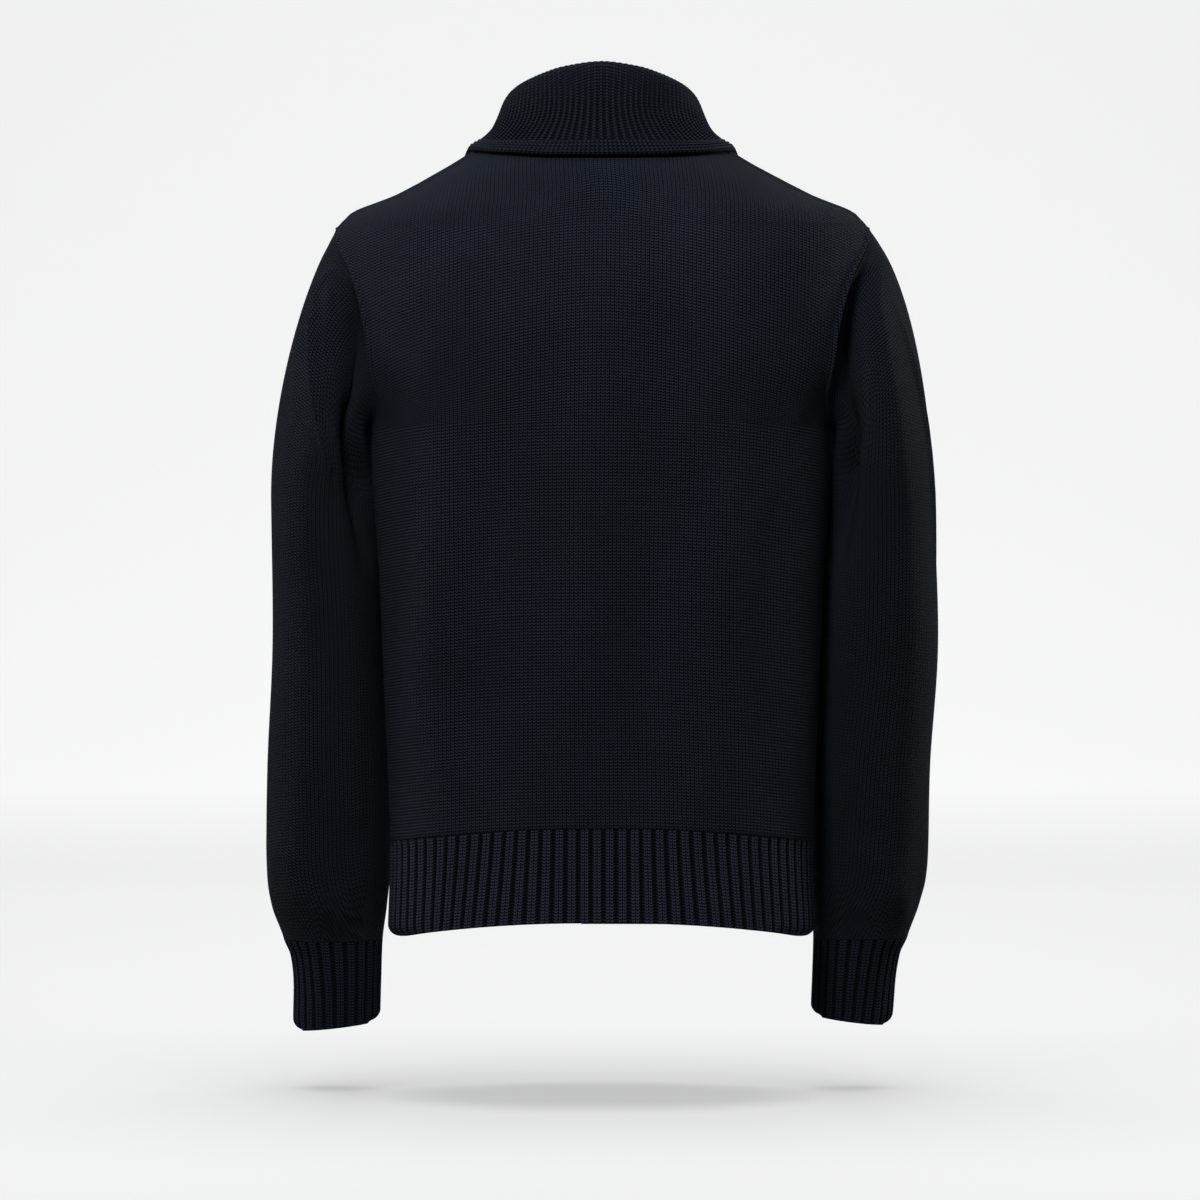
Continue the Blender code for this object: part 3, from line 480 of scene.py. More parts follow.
# The hollow colour is painted shade: the near-black between the stitches and in the rib grooves.
PLAIN_CROWN, RIB_CROWN = (0.0122, 0.0144, 0.0214, 1.0), (0.0172, 0.0208, 0.0312, 1.0)
FINE_CROWN, PAINTED_HOLLOW_SHADE = (0.0100, 0.0123, 0.0184, 1.0), (0.0001, 0.0002, 0.0004, 1.0)
CUFF_CROWN_PAINTED_SHADE, SLEEVE_CROWN_PAINTED_SHADE = (0.0085, 0.0122, 0.0190, 1.0), (0.0090, 0.0110, 0.0165, 1.0)
# The sleeves and cuffs get a darker colour than the back and the hem. The real yarn is one colour: this
# stands in for the shade that falls on them in the photo, which the lamps here don't give.
plain_knit = yarn_material("plain_knit", PLAIN_CROWN, PAINTED_HOLLOW_SHADE, 0.0017, groove=0.95)
sleeve_knit = yarn_material("sleeve_knit", SLEEVE_CROWN_PAINTED_SHADE, PAINTED_HOLLOW_SHADE, 0.0018, groove=0.95)
broad_rib_knit = yarn_material("broad_rib_knit", RIB_CROWN, PAINTED_HOLLOW_SHADE, 0.0012, columns=3.0, purl=1.0)
COLLAR_FOLD_HEIGHTS = (0.0, 0.045)  # between these the collar's ribs stretch flat
fine_rib_knit = yarn_material(
    "fine_rib_knit", FINE_CROWN, PAINTED_HOLLOW_SHADE, 0.0014, columns=2.0, purl=1.0, groove=0.45, fold=COLLAR_FOLD_HEIGHTS
)
# The cuffs' rib is a darker copy of the hem's rib: its colour is painted shade, as on the sleeves.
shaded_cuff_rib_knit = yarn_material("shaded_cuff_rib_knit", CUFF_CROWN_PAINTED_SHADE, PAINTED_HOLLOW_SHADE, 0.0012, columns=3.0, purl=1.0, groove=0.5)
chain_knit = yarn_material("chain_knit", FINE_CROWN, PAINTED_HOLLOW_SHADE, 0.0014, slant=0.9)


def dress(piece, node, material):
    """Gives a cloth piece its material and its place on the frame, and hides the imported part it stands for."""
    piece.data.materials.append(material)
    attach(piece, "root")
    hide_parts(node)


def cloth_area(points):
    """The area of a grid's surface."""
    along_row, along_column = points[:-1, 1:] - points[:-1, :-1], points[1:, :-1] - points[:-1, :-1]
    return float(np.linalg.norm(np.cross(along_row, along_column), axis=-1).sum())


# %% [markdown]
# ## The drape of the body
#
# The back hangs in broad soft pleats from the shoulder blades to the ribbed hem, which holds the cloth
# in and ends them. Each is a bump with a bell-shaped outline, wide and low. Shorter slanted ones show
# where the armholes pull. The front wasn't photographed, so it gets a few of the same kind.

# %% Folds of the body
BACK, FRONT = 1, -1
Fold = namedtuple("Fold", "facing x z half_width half_height height")
BODY_FOLDS = (
    Fold(BACK, 0.144, -0.400, 0.028, 0.160, 0.0073),
    Fold(BACK, 0.100, -0.390, 0.024, 0.170, -0.0062),
    Fold(BACK, 0.012, -0.420, 0.036, 0.150, 0.0062),
    Fold(BACK, -0.038, -0.400, 0.026, 0.160, -0.0073),
    Fold(BACK, -0.096, -0.410, 0.030, 0.160, 0.0073),
    Fold(BACK, -0.146, -0.380, 0.026, 0.150, -0.0062),
    Fold(FRONT, 0.120, -0.400, 0.034, 0.160, 0.0062),
    Fold(FRONT, 0.070, -0.430, 0.026, 0.130, -0.0052),
    Fold(FRONT, -0.105, -0.410, 0.034, 0.170, 0.0062),
    Fold(FRONT, -0.062, -0.390, 0.024, 0.140, -0.0052),
)
# A pull is a slanted crease: its middle, the way it runs (degrees up from the horizontal towards +X),
# its half length and half width, and how far it stands out.
Pull = namedtuple("Pull", "facing x z slope half_length half_width height")
BODY_PULLS = (
    Pull(BACK, 0.168, -0.262, 58.0, 0.040, 0.008, -0.0016),
    Pull(BACK, 0.150, -0.285, 62.0, 0.050, 0.010, 0.0012),
    Pull(BACK, -0.166, -0.258, -60.0, 0.042, 0.008, -0.0015),
    Pull(BACK, -0.147, -0.290, -64.0, 0.052, 0.010, 0.0012),
    Pull(BACK, 0.060, -0.545, 78.0, 0.035, 0.009, 0.0012),
    Pull(BACK, -0.080, -0.550, -80.0, 0.030, 0.008, 0.0012),
    Pull(BACK, 0.118, -0.552, 82.0, 0.028, 0.008, -0.0012),
    Pull(BACK, -0.020, -0.556, 86.0, 0.026, 0.009, -0.0010),
    Pull(FRONT, 0.160, -0.265, 55.0, 0.040, 0.008, -0.0015),
    Pull(FRONT, -0.160, -0.268, -57.0, 0.040, 0.008, -0.0015),
    Pull(FRONT, 0.090, -0.555, 80.0, 0.030, 0.009, 0.0012),
    Pull(FRONT, -0.100, -0.550, -80.0, 0.030, 0.009, 0.0012),
)
FOLDS_FADE_Y = 0.05  # the folds die out towards the side seams
BAND_SEAM_X = 0.019
OVERLAP = 0.0048  # the left front lies this far in front of the right one at the bands
OVERLAP_FROM_X = 0.07


UNDERARM = (-0.292, 0.048, 0.055, 0.0050)  # the fullness under each arm: z, half height, half depth, height


def drape(places):
    """How far the folds and pulls move each point out: a sum of bells, height times exp(-reach)."""
    x, y, z = np.moveaxis(places, -1, 0)
    reach = ((z - UNDERARM[0]) / UNDERARM[1]) ** 2 + (y / UNDERARM[2]) ** 2
    total = UNDERARM[3] * np.exp(-reach) * smooth(np.abs(x), 0.12, 0.17)
    for fold in BODY_FOLDS:
        here = smooth(fold.facing * y, 0, FOLDS_FADE_Y)
        reach = ((x - fold.x) / fold.half_width) ** 2 + ((z - fold.z) / fold.half_height) ** 2
        total += here * fold.height * np.exp(-reach)
    for pull in BODY_PULLS:
        here = smooth(pull.facing * y, 0, FOLDS_FADE_Y)
        cosine, sine = math.cos(math.radians(pull.slope)), math.sin(math.radians(pull.slope))
        lengthwise = (x - pull.x) * cosine + (z - pull.z) * sine
        sideways = (z - pull.z) * cosine - (x - pull.x) * sine
        reach = (lengthwise / pull.half_length) ** 2 + (sideways / pull.half_width) ** 2
        total += here * pull.height * np.exp(-reach)
    return total


def cloth(angle, level, depth=0.0):
    """A point of the draped body, moved out by depth and, on the left front, over the right one."""
    places = body(angle, level)
    x, y, _ = np.moveaxis(places, -1, 0)
    lift = np.where((x > 0) & (y < 0), OVERLAP * smooth(-x, -OVERLAP_FROM_X, -BAND_SEAM_X), 0)
    return places + body_normal(angle, level) * (drape(places) + lift + depth)[..., None]


# %% [markdown]
# ## The armholes and the front edges
#
# Each armhole is cut out of the back and the fronts. The table says how many degrees of the ring it
# takes at each level, and both the panels and the sleeve read it, so their edges match. The fronts end
# beside the button bands and then run out along the neckline to the shoulder seam.

# %% Where the panels end
Bite = namedtuple("Bite", "level back front")
ARMHOLE = (
    Bite(4.00, 0.0, 0.0),
    Bite(4.12, 11.0, 12.0),
    Bite(4.40, 20.0, 23.0),
    Bite(4.80, 25.0, 30.0),
    Bite(5.30, 27.0, 32.0),
    Bite(5.80, 25.5, 29.5),
    Bite(6.25, 21.0, 23.0),
    Bite(6.65, 13.5, 14.0),
    Bite(6.88, 9.0, 9.0),
    Bite(7.00, 0.0, 0.0),
)
Neckline = namedtuple("Neckline", "level left_x right_x")
NECKLINE = (
    Neckline(0.00, 0.0190, 0.0190),
    Neckline(3.20, 0.0190, 0.0190),
    Neckline(3.45, 0.0190, 0.0210),
    Neckline(3.70, 0.0190, 0.0260),
    Neckline(4.00, 0.0255, 0.0310),
    Neckline(5.00, 0.0400, 0.0420),
    Neckline(6.00, 0.0560, 0.0560),
    Neckline(7.00, 0.0700, 0.0700),
    Neckline(8.00, 0.0775, 0.0775),
    Neckline(9.00, 0.0835, 0.0835),
    Neckline(10.0, 0.0875, 0.0875),
)
APEX_LEVEL = 3.70  # where the collar starts


def front_angle(x, level):
    """The angle of the front's point that is x from the middle: the superellipse solved for its angle."""
    ring = Ring(*np.moveaxis(along(BODY, level), -1, 0))
    across = (x - ring.centre_x) / ring.half_width
    sine = np.minimum(np.abs(across), 1) ** (ring.squareness / 2)
    return np.where(across < 0, -1, 1) * (180 - np.degrees(np.arcsin(sine)))


def front_edge_angle(level, side):
    """The angle at which the left (1) or right (-1) front ends."""
    rows = np.array(NECKLINE)
    x = side * np.interp(level, rows[:, 0], rows[:, 1 if side > 0 else 2])
    return np.abs(front_angle(x, level))


def front_level(x, z):
    """The level at which the front passes through a place, found by halving."""
    x, z = np.broadcast_arrays(np.asarray(x, float), np.asarray(z, float))
    low, high = np.zeros(x.shape), np.full(x.shape, NECK)
    for _ in range(30):
        middle = (low + high) / 2
        above = body(front_angle(x, middle), middle)[..., 2] > z
        high = np.where(above, middle, high)
        low = np.where(above, low, middle)
    return (low + high) / 2


# %% [markdown]
# ## The plain panels
#
# The back and the two fronts are the same kind of piece, so one function makes all three. Rows of
# points go up from the ribbed hem, take in the armhole, and end at the neck. The columns crowd at the
# side edges, because there the cloth rounds down into its seam: two rounded edges side by side are
# what makes a seam read as a soft valley, with no line drawn on it.

# %% Make the back and the fronts
KNIT = 0.0026  # thickness of the plain cloth
SEAM_ROUND = 0.0013
# How far the crowded columns are from the edge:
EDGE_STEPS = np.concatenate([
    [0.0, 0.0003, 0.0007, 0.0013, 0.0020, 0.0030, 0.0040, 0.0052], np.linspace(0.0070, 0.0250, 11)
])
Ridge = namedtuple("Ridge", "away half height")
ARMHOLE_RIDGE = Ridge(0.0034, 0.0020, 0.0026)
SHOULDER_RIDGE = Ridge(0.0165, 0.0030, 0.0024)


def panel_levels():
    """The levels of a panel's rows, and the armhole's bite out of the back and the front at each."""
    below = np.linspace(1.0, ARMPIT, 84)[:-1]
    hole = along(ARMHOLE, np.linspace(0, len(ARMHOLE) - 1, 55))
    above = np.linspace(SHOULDER_TIP, NECK, 27)[1:]
    level = np.concatenate([below, hole[:, 0], above])
    none_below, none_above = np.zeros(len(below)), np.zeros(len(above))
    back = np.concatenate([none_below, hole[:, 1], none_above])
    front = np.concatenate([none_below, hole[:, 2], none_above])
    return level, back, front


def crowded(width, count, steps=EDGE_STEPS):
    """Shares from 0 to 1 for rows of the given widths, with extra columns close to both ends."""
    ends = steps / width[:, None]
    inside = np.linspace(0, 1, count + 2)[1:-1]
    start = ends[:, -1:]
    middle = start + (1 - 2 * start) * inside
    return np.hstack([ends, middle, 1 - ends[:, ::-1]])


def raised(ridge, to_edge):
    """The bell of one ridge over the distance from the edge."""
    return ridge.height * np.exp(-(((to_edge - ridge.away) / ridge.half) ** 2))


def seam_ridges(level, to_edge):
    """The ridge that the seam allowance raises beside the armhole and the shoulder seam: a bell of the
    distance from the edge."""
    armhole = smooth(level, ARMPIT, ARMPIT + 0.2) * (1 - smooth(level, SHOULDER_TIP - 0.1, SHOULDER_TIP))
    shoulder = smooth(level, SHOULDER_TIP, SHOULDER_TIP + 0.3)
    return armhole * raised(ARMHOLE_RIDGE, to_edge) + shoulder * raised(SHOULDER_RIDGE, to_edge)


def panel(name, node, level, start, end, columns):
    """A panel between two edges given as angles at each level."""
    chord = np.linspace(0, 1, 40)
    trial = body(start[:, None] + (end - start)[:, None] * chord, level[:, None])
    share = crowded(lengths(trial, 1)[:, -1], columns)
    angle = start[:, None] + (end - start)[:, None] * share
    level = np.repeat(level[:, None], share.shape[1], 1)
    smooth_face = cloth(angle, level)
    across = lengths(smooth_face, 1)
    to_edge = np.minimum(across, across[:, -1:] - across)
    drop = rounded(to_edge, SEAM_ROUND)
    outer = cloth(angle, level, seam_ridges(level, to_edge) - drop)
    inner = cloth(angle, level, drop - KNIT)
    places = in_stitches(smooth_face)
    piece = wall(name, outer, inner, places, places)
    dress(piece, node, plain_knit)
    print(name, "shows", round(cloth_area(smooth_face), 3), "m2 of cloth")
    return piece


level, back_bite, front_bite = panel_levels()
panel("back_panel", "back", level, back_bite - 90, 90 - back_bite, 112)
for word, side in (("left", 1), ("right", -1)):
    edge = side * front_edge_angle(level, side)
    side_seam = side * (90 + front_bite)
    panel(f"front_panel_{word}", f"front_{word}", level, side_seam, edge, 46)


# %% [markdown]
# ## Broad ribs
#
# The hem and the cuffs are 2x2 rib: two columns of plain stitches stand up, and the purl stitches
# between them pull back into a narrow groove. Because rib draws the cloth in, it holds the cardigan to
# the hips and the wrists. We draw the relief as a function of the place round the ring, counted in
# ribs: a smooth groove, and two low round crowns on the part that stands up. The same function serves
# the hem and both cuffs.

# %% The relief of a 2x2 rib
RIB_WALL = 0.0034
RIB_GROOVE = 0.0023  # depth of the groove between two ribs
RIB_CROWN_RISE = 0.0005
GROOVE_MIDDLE, GROOVE_HALF_WIDTH = 0.84, 0.19  # along one rib
POINTS_PER_RIB = 12


def broad_rib(place):
    """How deep the surface lies at a place counted in ribs. The groove is a squared cosine round its
    middle, and each of the two plain columns is a low arch, the absolute sine of two turns a rib."""
    within = place % 1.0
    from_groove = np.abs((within - GROOVE_MIDDLE + 0.5) % 1.0 - 0.5)
    groove = np.cos(np.clip(from_groove / GROOVE_HALF_WIDTH, 0, 1) * math.pi / 2) ** 2
    arch = np.abs(np.sin(math.pi * (within - 0.02) / 0.32))
    return RIB_GROOVE * groove + RIB_CROWN_RISE * (1 - arch) * (1 - groove)


def rib_columns(place):
    """The place in columns of stitches: two on the part that stands up and one in the groove."""
    whole = np.floor(place)
    return 3 * whole + np.interp(place - whole, [0.0, 0.02, 0.34, 0.66, 1.0], [-0.05, 0.0, 1.0, 2.0, 2.95])


print("deepest point of a rib:", round(float(broad_rib(np.linspace(0, 1, 200)).max()) * 1000, 2), "mm")


# %% Make the ribbed hem
HEM_RIBS = 88
BOTTOM_ROUND = 0.0015
CORNER_ROUND = 0.0095
HEM_BOTTOM = [0.0, 0.003, 0.007, 0.012, 0.019, 0.028, 0.040, 0.055, 0.075, 0.1]
HEM_LEVELS = np.concatenate([HEM_BOTTOM, np.linspace(0.14, 0.94, 14), [0.96, 0.975, 0.99, 1.0]])


def ring_angles(level, start, end, shares):
    """The angles at given shares of a ring's length."""
    angle = np.linspace(start, end, 2001)
    length = lengths(body(angle, level), 0)
    return np.interp(shares * length[-1], length, angle)


def gathered(share):
    """A slight shift of the ribs' feet to both sides, as the hem is drawn in under the arms: in
    degrees, a sine of the place round the hem."""
    return 1.6 * np.sin(4 * math.pi * share) + 0.5 * np.sin(14 * math.pi * share)


def hem_places(count):
    share = np.linspace(0, 1, count)
    angle = ring_angles(0.5, -front_edge_angle(0.0, -1), front_edge_angle(0.0, 1), share)
    level = HEM_LEVELS[:, None]
    fixed = smooth(share, 0, 0.03) * smooth(1 - share, 0, 0.03)
    lean = gathered(share) * fixed * (1 - level)
    return share, angle[None, :] + lean, level + 0 * share


def tucked(height, sideways):
    """How far the bottom edge draws in at the sides, where sideways nears 1: a quarter circle."""
    return rounded(height, CORNER_ROUND) * smooth(sideways, 0.70, 0.97)


share, angle, level = hem_places(HEM_RIBS * POINTS_PER_RIB + 1)
smooth_face = cloth(angle, level)
height = lengths(smooth_face, 0)
relief = broad_rib(share * HEM_RIBS) * (1 - 0.85 * smooth(level, 0.93, 1.0)) * smooth(height, -0.001, 0.004)
bottom = rounded(height, BOTTOM_ROUND)
sideways = np.abs(np.sin(np.radians(angle)))
outer = cloth(angle, level, -relief - np.maximum(bottom, tucked(height, sideways)))
outer_places = np.stack([np.broadcast_to(rib_columns(share * HEM_RIBS), level.shape), height / COURSE], -1)
share, angle, level = hem_places(HEM_RIBS * 3 + 1)
height = lengths(cloth(angle, level), 0)
sideways = np.abs(np.sin(np.radians(angle)))
inner = cloth(angle, level, rounded(height, BOTTOM_ROUND) - tucked(height, sideways) - RIB_WALL)
inner_places = np.stack([3 * share * HEM_RIBS + 0 * level, lengths(inner, 0) / COURSE], -1)
hem = wall("hem_ribbing", outer, inner, outer_places, inner_places)
dress(hem, "hem_rib", broad_rib_knit)
hem_round = float(lengths(smooth_face, 1)[0, -1])
print("hem shows", round(cloth_area(smooth_face), 3), "m2 round", round(hem_round, 3), "m")

# %% [markdown]
# ## Set-in sleeves
#
# A sleeve is a tube whose top edge follows the armhole. We start from that edge, and run a cubic curve
# from each of its points down to the first full ring of the upper arm: it swells over the shoulder and
# stays close to the body under the arm. Below that the sleeve is a stack of ellipses, read from a
# table, ending where the cuff begins.
#
# Folds run down a sleeve. The left one has a sharp crease behind the upper arm, as cloth makes when it
# is pushed together, and a deep hollow between it and the body. A fold here follows an angle round the
# arm that changes as it goes down.

# %% The rings of the sleeves
Section = namedtuple("Section", "z outer_x inner_x centre_y half_depth")
LEFT_ARM = (
    Section(-0.3100, 0.2785, 0.1882, -0.014, 0.066),
    Section(-0.4300, 0.2785, 0.1838, -0.028, 0.062),
    Section(-0.5330, 0.2840, 0.1790, -0.041, 0.057),
    Section(-0.6180, 0.2855, 0.1800, -0.050, 0.052),
    Section(-0.6540, 0.2815, 0.1830, -0.052, 0.046),
    Section(-0.6840, 0.2710, 0.1868, -0.053, 0.038),
    Section(-0.7200, 0.2650, 0.1880, -0.053, 0.034),
    Section(-0.7570, 0.2630, 0.1890, -0.054, 0.034),
)
RIGHT_ARM = (
    Section(-0.3100, 0.2800, 0.1882, -0.014, 0.066),
    Section(-0.4300, 0.2850, 0.1838, -0.028, 0.062),
    Section(-0.5330, 0.2795, 0.1790, -0.041, 0.057),
    Section(-0.6180, 0.2780, 0.1790, -0.050, 0.052),
    Section(-0.6520, 0.2715, 0.1800, -0.052, 0.046),
    Section(-0.6820, 0.2610, 0.1807, -0.053, 0.038),
    Section(-0.7180, 0.2530, 0.1797, -0.053, 0.034),
    Section(-0.7520, 0.2475, 0.1785, -0.054, 0.034),
)
CUFF_LINE, CUFF_EDGE = 5.0, 7.0
CUFF_TILT = 0.004
LEFT_CAP_PUSH, RIGHT_CAP_PUSH = (0.0115, 0.028), (0.0190, 0.036)
SIDE_PUSH = (0.006, 0.010)
UNDER_PUSH = 0.005
CAP_START, CAP_END = 0.35, 0.33
SLEEVE_SEAM = 0.0003

# A fold of a sleeve: the angle round the arm where it starts and ends (0 is the outer side, 90 the
# back), its heights, how wide it is in degrees, and how far it stands out.
ArmFold = namedtuple("ArmFold", "top_angle bottom_angle top_z bottom_z half_angle height")
LEFT_ARM_FOLDS = (
    ArmFold(62.0, 138.0, -0.146, -0.290, 15.0, -0.0160),
    ArmFold(122.0, 143.0, -0.180, -0.350, 15.0, -0.0130),
    ArmFold(44.0, 100.0, -0.130, -0.290, 17.0, 0.0030),
    ArmFold(28.0, 99.0, -0.140, -0.284, 3.0, 0.0078),
    ArmFold(16.0, 50.0, -0.150, -0.240, 5.0, 0.0020),
    ArmFold(260.0, 230.0, -0.140, -0.300, 20.0, 0.0040),
    ArmFold(40.0, 70.0, -0.600, -0.655, 22.0, 0.0030),
    ArmFold(120.0, 100.0, -0.585, -0.650, 14.0, -0.0015),
)
RIGHT_ARM_FOLDS = (
    ArmFold(66.0, 138.0, -0.146, -0.290, 14.0, -0.0110),
    ArmFold(124.0, 142.0, -0.180, -0.350, 15.0, -0.0120),
    ArmFold(50.0, 75.0, -0.120, -0.290, 18.0, 0.0040),
    ArmFold(32.0, 18.0, -0.165, -0.350, 4.0, 0.0032),
    ArmFold(265.0, 235.0, -0.140, -0.300, 20.0, 0.0040),
    ArmFold(100.0, 60.0, -0.600, -0.655, 22.0, 0.0030),
    ArmFold(40.0, 30.0, -0.590, -0.655, 12.0, -0.0015),
)


def armhole_loop(side, steps):
    """The armhole from the shoulder tip down the back, to the armpit and up the front."""
    level, back, front = along(ARMHOLE, np.linspace(0, len(ARMHOLE) - 1, steps + 1)).T
    angle = side * np.concatenate([90 - back[::-1], 90 + front[1:-1]])
    return angle, np.concatenate([level[::-1], level[1:-1]])


def arm_ring(table, side, angle, place):
    """A point of the sleeve's rings: an ellipse, x by cos(angle) and y by sin(angle)."""
    section = Section(*np.moveaxis(along(table, place), -1, 0))
    middle = (section.outer_x + section.inner_x) / 2
    half_width = (section.outer_x - section.inner_x) / 2
    turn = np.radians(angle)
    tilt = CUFF_TILT * np.cos(turn) * smooth(place, CUFF_LINE, CUFF_EDGE)
    x = side * (middle + half_width * np.cos(turn))
    y = section.centre_y + section.half_depth * np.sin(turn)
    return np.stack([x, y, section.z - tilt + 0 * x], -1)


def loop_angles(points):
    """The angle round the arm of each point of the armhole: 0 at the tip, 180 at the armpit, by length."""
    half = len(points) // 2
    length = lengths(np.vstack([points, points[:1]]), 0)
    back, front = length[: half + 1], length[half:] - length[half]
    return np.concatenate([180 * back / back[-1], 180 + 180 * front[1:-1] / front[-1]])


def cap_point(start, angle, step, table, side, push):
    """The cap's cubic curve between four points: the armhole, a point pushed out and up from it, a
    point straight above the arm's ring, and the ring."""
    end = arm_ring(table, side, angle, 0.0)
    chord = end - start
    reach = np.linalg.norm(chord, axis=-1, keepdims=True)
    turn = np.radians(angle)
    top, under = ((1 + np.cos(turn)) / 2) ** 2, ((1 - np.cos(turn)) / 2) ** 2
    swell = np.abs(np.sin(turn)) ** 1.5
    out = side * (push[0] * top + UNDER_PUSH * under)
    sideways = np.sign(np.sin(turn)) * SIDE_PUSH[0] * swell
    move = np.stack([out, sideways, push[1] * top + SIDE_PUSH[1] * swell], -1)
    first = start + CAP_START * chord + move
    second = end + CAP_END * unit(end - arm_ring(table, side, angle, 0.05)) * reach
    t = np.asarray(step)[..., None]
    return (1 - t) ** 3 * start + 3 * (1 - t) ** 2 * t * first + 3 * (1 - t) * t**2 * second + t**3 * end


def arm_folds(table, angle, z):
    """How far a sleeve's folds move its points out: bells round an angle that changes with the height."""
    total = np.zeros(np.broadcast(angle, z).shape)
    for fold in table:
        share = (z - fold.top_z) / (fold.bottom_z - fold.top_z)
        middle = fold.top_angle + (fold.bottom_angle - fold.top_angle) * np.clip(share, 0, 1)
        away = (angle - middle + 180) % 360 - 180
        length = smooth(share, -0.25, 0.25) * (1 - smooth(share, 0.75, 1.25))
        total += fold.height * length * np.exp(-((away / fold.half_angle) ** 2))
    return total


# %% Make the sleeves
HOLE_STEPS = 100
CAP_PLACES = np.concatenate([[0.0, 0.002, 0.004, 0.007, 0.012], np.linspace(0.03, 0.98, 44)])
ARM_PLACES = np.concatenate([np.linspace(0.0, 4.95, 84), [5.0]])
UNDERARM_SEAM = (0.0008, 0.0012)  # depth and half width of the seam under the arm
Sink = namedtuple("Sink", "angle half_angle away half depth")
SEAM_SINK = Sink(92.0, 46.0, 0.013, 0.0120, 0.0230)  # behind the armhole the sleeve lies lower than the back


def tube_normals(rows, side):
    """The outward normals of a tube's grid: the way down crossed with the way round."""
    round_step = np.roll(rows, -1, axis=1) - np.roll(rows, 1, axis=1)
    return unit(np.cross(np.gradient(rows, axis=0), round_step)) * side


def sleeve(name, node, side, table, push, folds):
    hole_angle, level = armhole_loop(side, HOLE_STEPS)
    start = cloth(hole_angle, level)
    angle = loop_angles(start)
    normal = body_normal(hole_angle, level)
    ahead = cap_point(start, angle, 0.02, table, side, push) - start
    away = unit(np.cross(np.roll(start, -1, axis=0) - np.roll(start, 1, axis=0), normal)) * side
    start = start + unit(unit(ahead) + away + normal / 2) * SLEEVE_SEAM
    rows = [cap_point(start, angle, step, table, side, push) for step in CAP_PLACES]
    rows += [arm_ring(table, side, angle, place) for place in ARM_PLACES]
    rows = np.roll(np.array(rows), HOLE_STEPS, axis=1)  # the columns now start under the arm
    angle = np.roll(angle, HOLE_STEPS)
    down = lengths(rows, 0)
    seam_normal = np.roll(normal, HOLE_STEPS, axis=0)
    as_panel = 1 - smooth(down, 0.0, 0.006)[..., None]
    normals = unit(tube_normals(rows, side) * (1 - as_panel) + seam_normal * as_panel)
    out = arm_folds(folds, angle[None, :], rows[..., 2]) * smooth(down, 0.002, 0.030)
    round_arm = (angle - SEAM_SINK.angle) / SEAM_SINK.half_angle
    below_seam = (down - SEAM_SINK.away) / SEAM_SINK.half
    reach = round_arm**2 + below_seam**2
    out -= SEAM_SINK.depth * np.exp(-reach) * smooth(down, 0.0, 0.005)
    face = rows + normals * out[..., None]
    normals = unit(tube_normals(face, side) * (1 - as_panel) + seam_normal * as_panel)
    closed = np.concatenate([face, face[:, :1]], axis=1)
    closed_normals = np.concatenate([normals, normals[:, :1]], axis=1)
    down, across = lengths(closed, 0), lengths(closed, 1)
    to_seam = np.minimum(across, across[:, -1:] - across)
    drop = rounded(down, SEAM_ROUND) + UNDERARM_SEAM[0] * np.exp(-((to_seam / UNDERARM_SEAM[1]) ** 2))
    places = in_stitches(closed)
    outer = closed - closed_normals * drop[..., None]
    inner = closed + closed_normals * (rounded(down, SEAM_ROUND) - KNIT)[..., None]
    piece = wall(name, outer, inner, places, places, tube=True)
    # Painted shade: the sleeves wear a darker copy of the plain knit, though the yarn is one colour.
    dress(piece, node, sleeve_knit)
    print(name, "shows", round(cloth_area(closed), 3), "m2 of cloth")


for word, side, table, push, folds in (
    ("left", 1, LEFT_ARM, LEFT_CAP_PUSH, LEFT_ARM_FOLDS),
    ("right", -1, RIGHT_ARM, RIGHT_CAP_PUSH, RIGHT_ARM_FOLDS),
):
    sleeve(f"sleeve_knit_{word}", f"sleeve_{word}", side, table, push, folds)

# %% Make the cuffs
CUFF_RIBS = 25
CUFF_BOTTOM = [6.76, 6.80, 6.84, 6.87, 6.90, 6.92, 6.94, 6.955, 6.968, 6.979, 6.988, 6.995, 7.0]
CUFF_PLACES = np.concatenate([np.linspace(5.0, 5.04, 3), np.linspace(5.1, 6.7, 16), CUFF_BOTTOM])


def cuff_face(table, side, angle, depth):
    """A face of the cuff: its ring moved level, in or out, by depth."""
    rows = np.array([arm_ring(table, side, angle[:-1], place) for place in CUFF_PLACES])
    normals = tube_normals(rows, side)
    normals[..., 2] = 0
    normals = unit(normals)
    rows, normals = (np.concatenate([grid, grid[:, :1]], axis=1) for grid in (rows, normals))
    return rows + normals * depth[..., None]


def cuff_hold(angle):
    """How far the cuff's ribs hold in the outer side of the wrist, just below the sleeve."""
    place = CUFF_PLACES[:, None]
    along_cuff = 0.0028 * smooth(place, 5.0, 5.4) * (1 - smooth(place, 5.6, 6.8))
    return along_cuff * smooth(np.cos(np.radians(angle)), 0, 1)


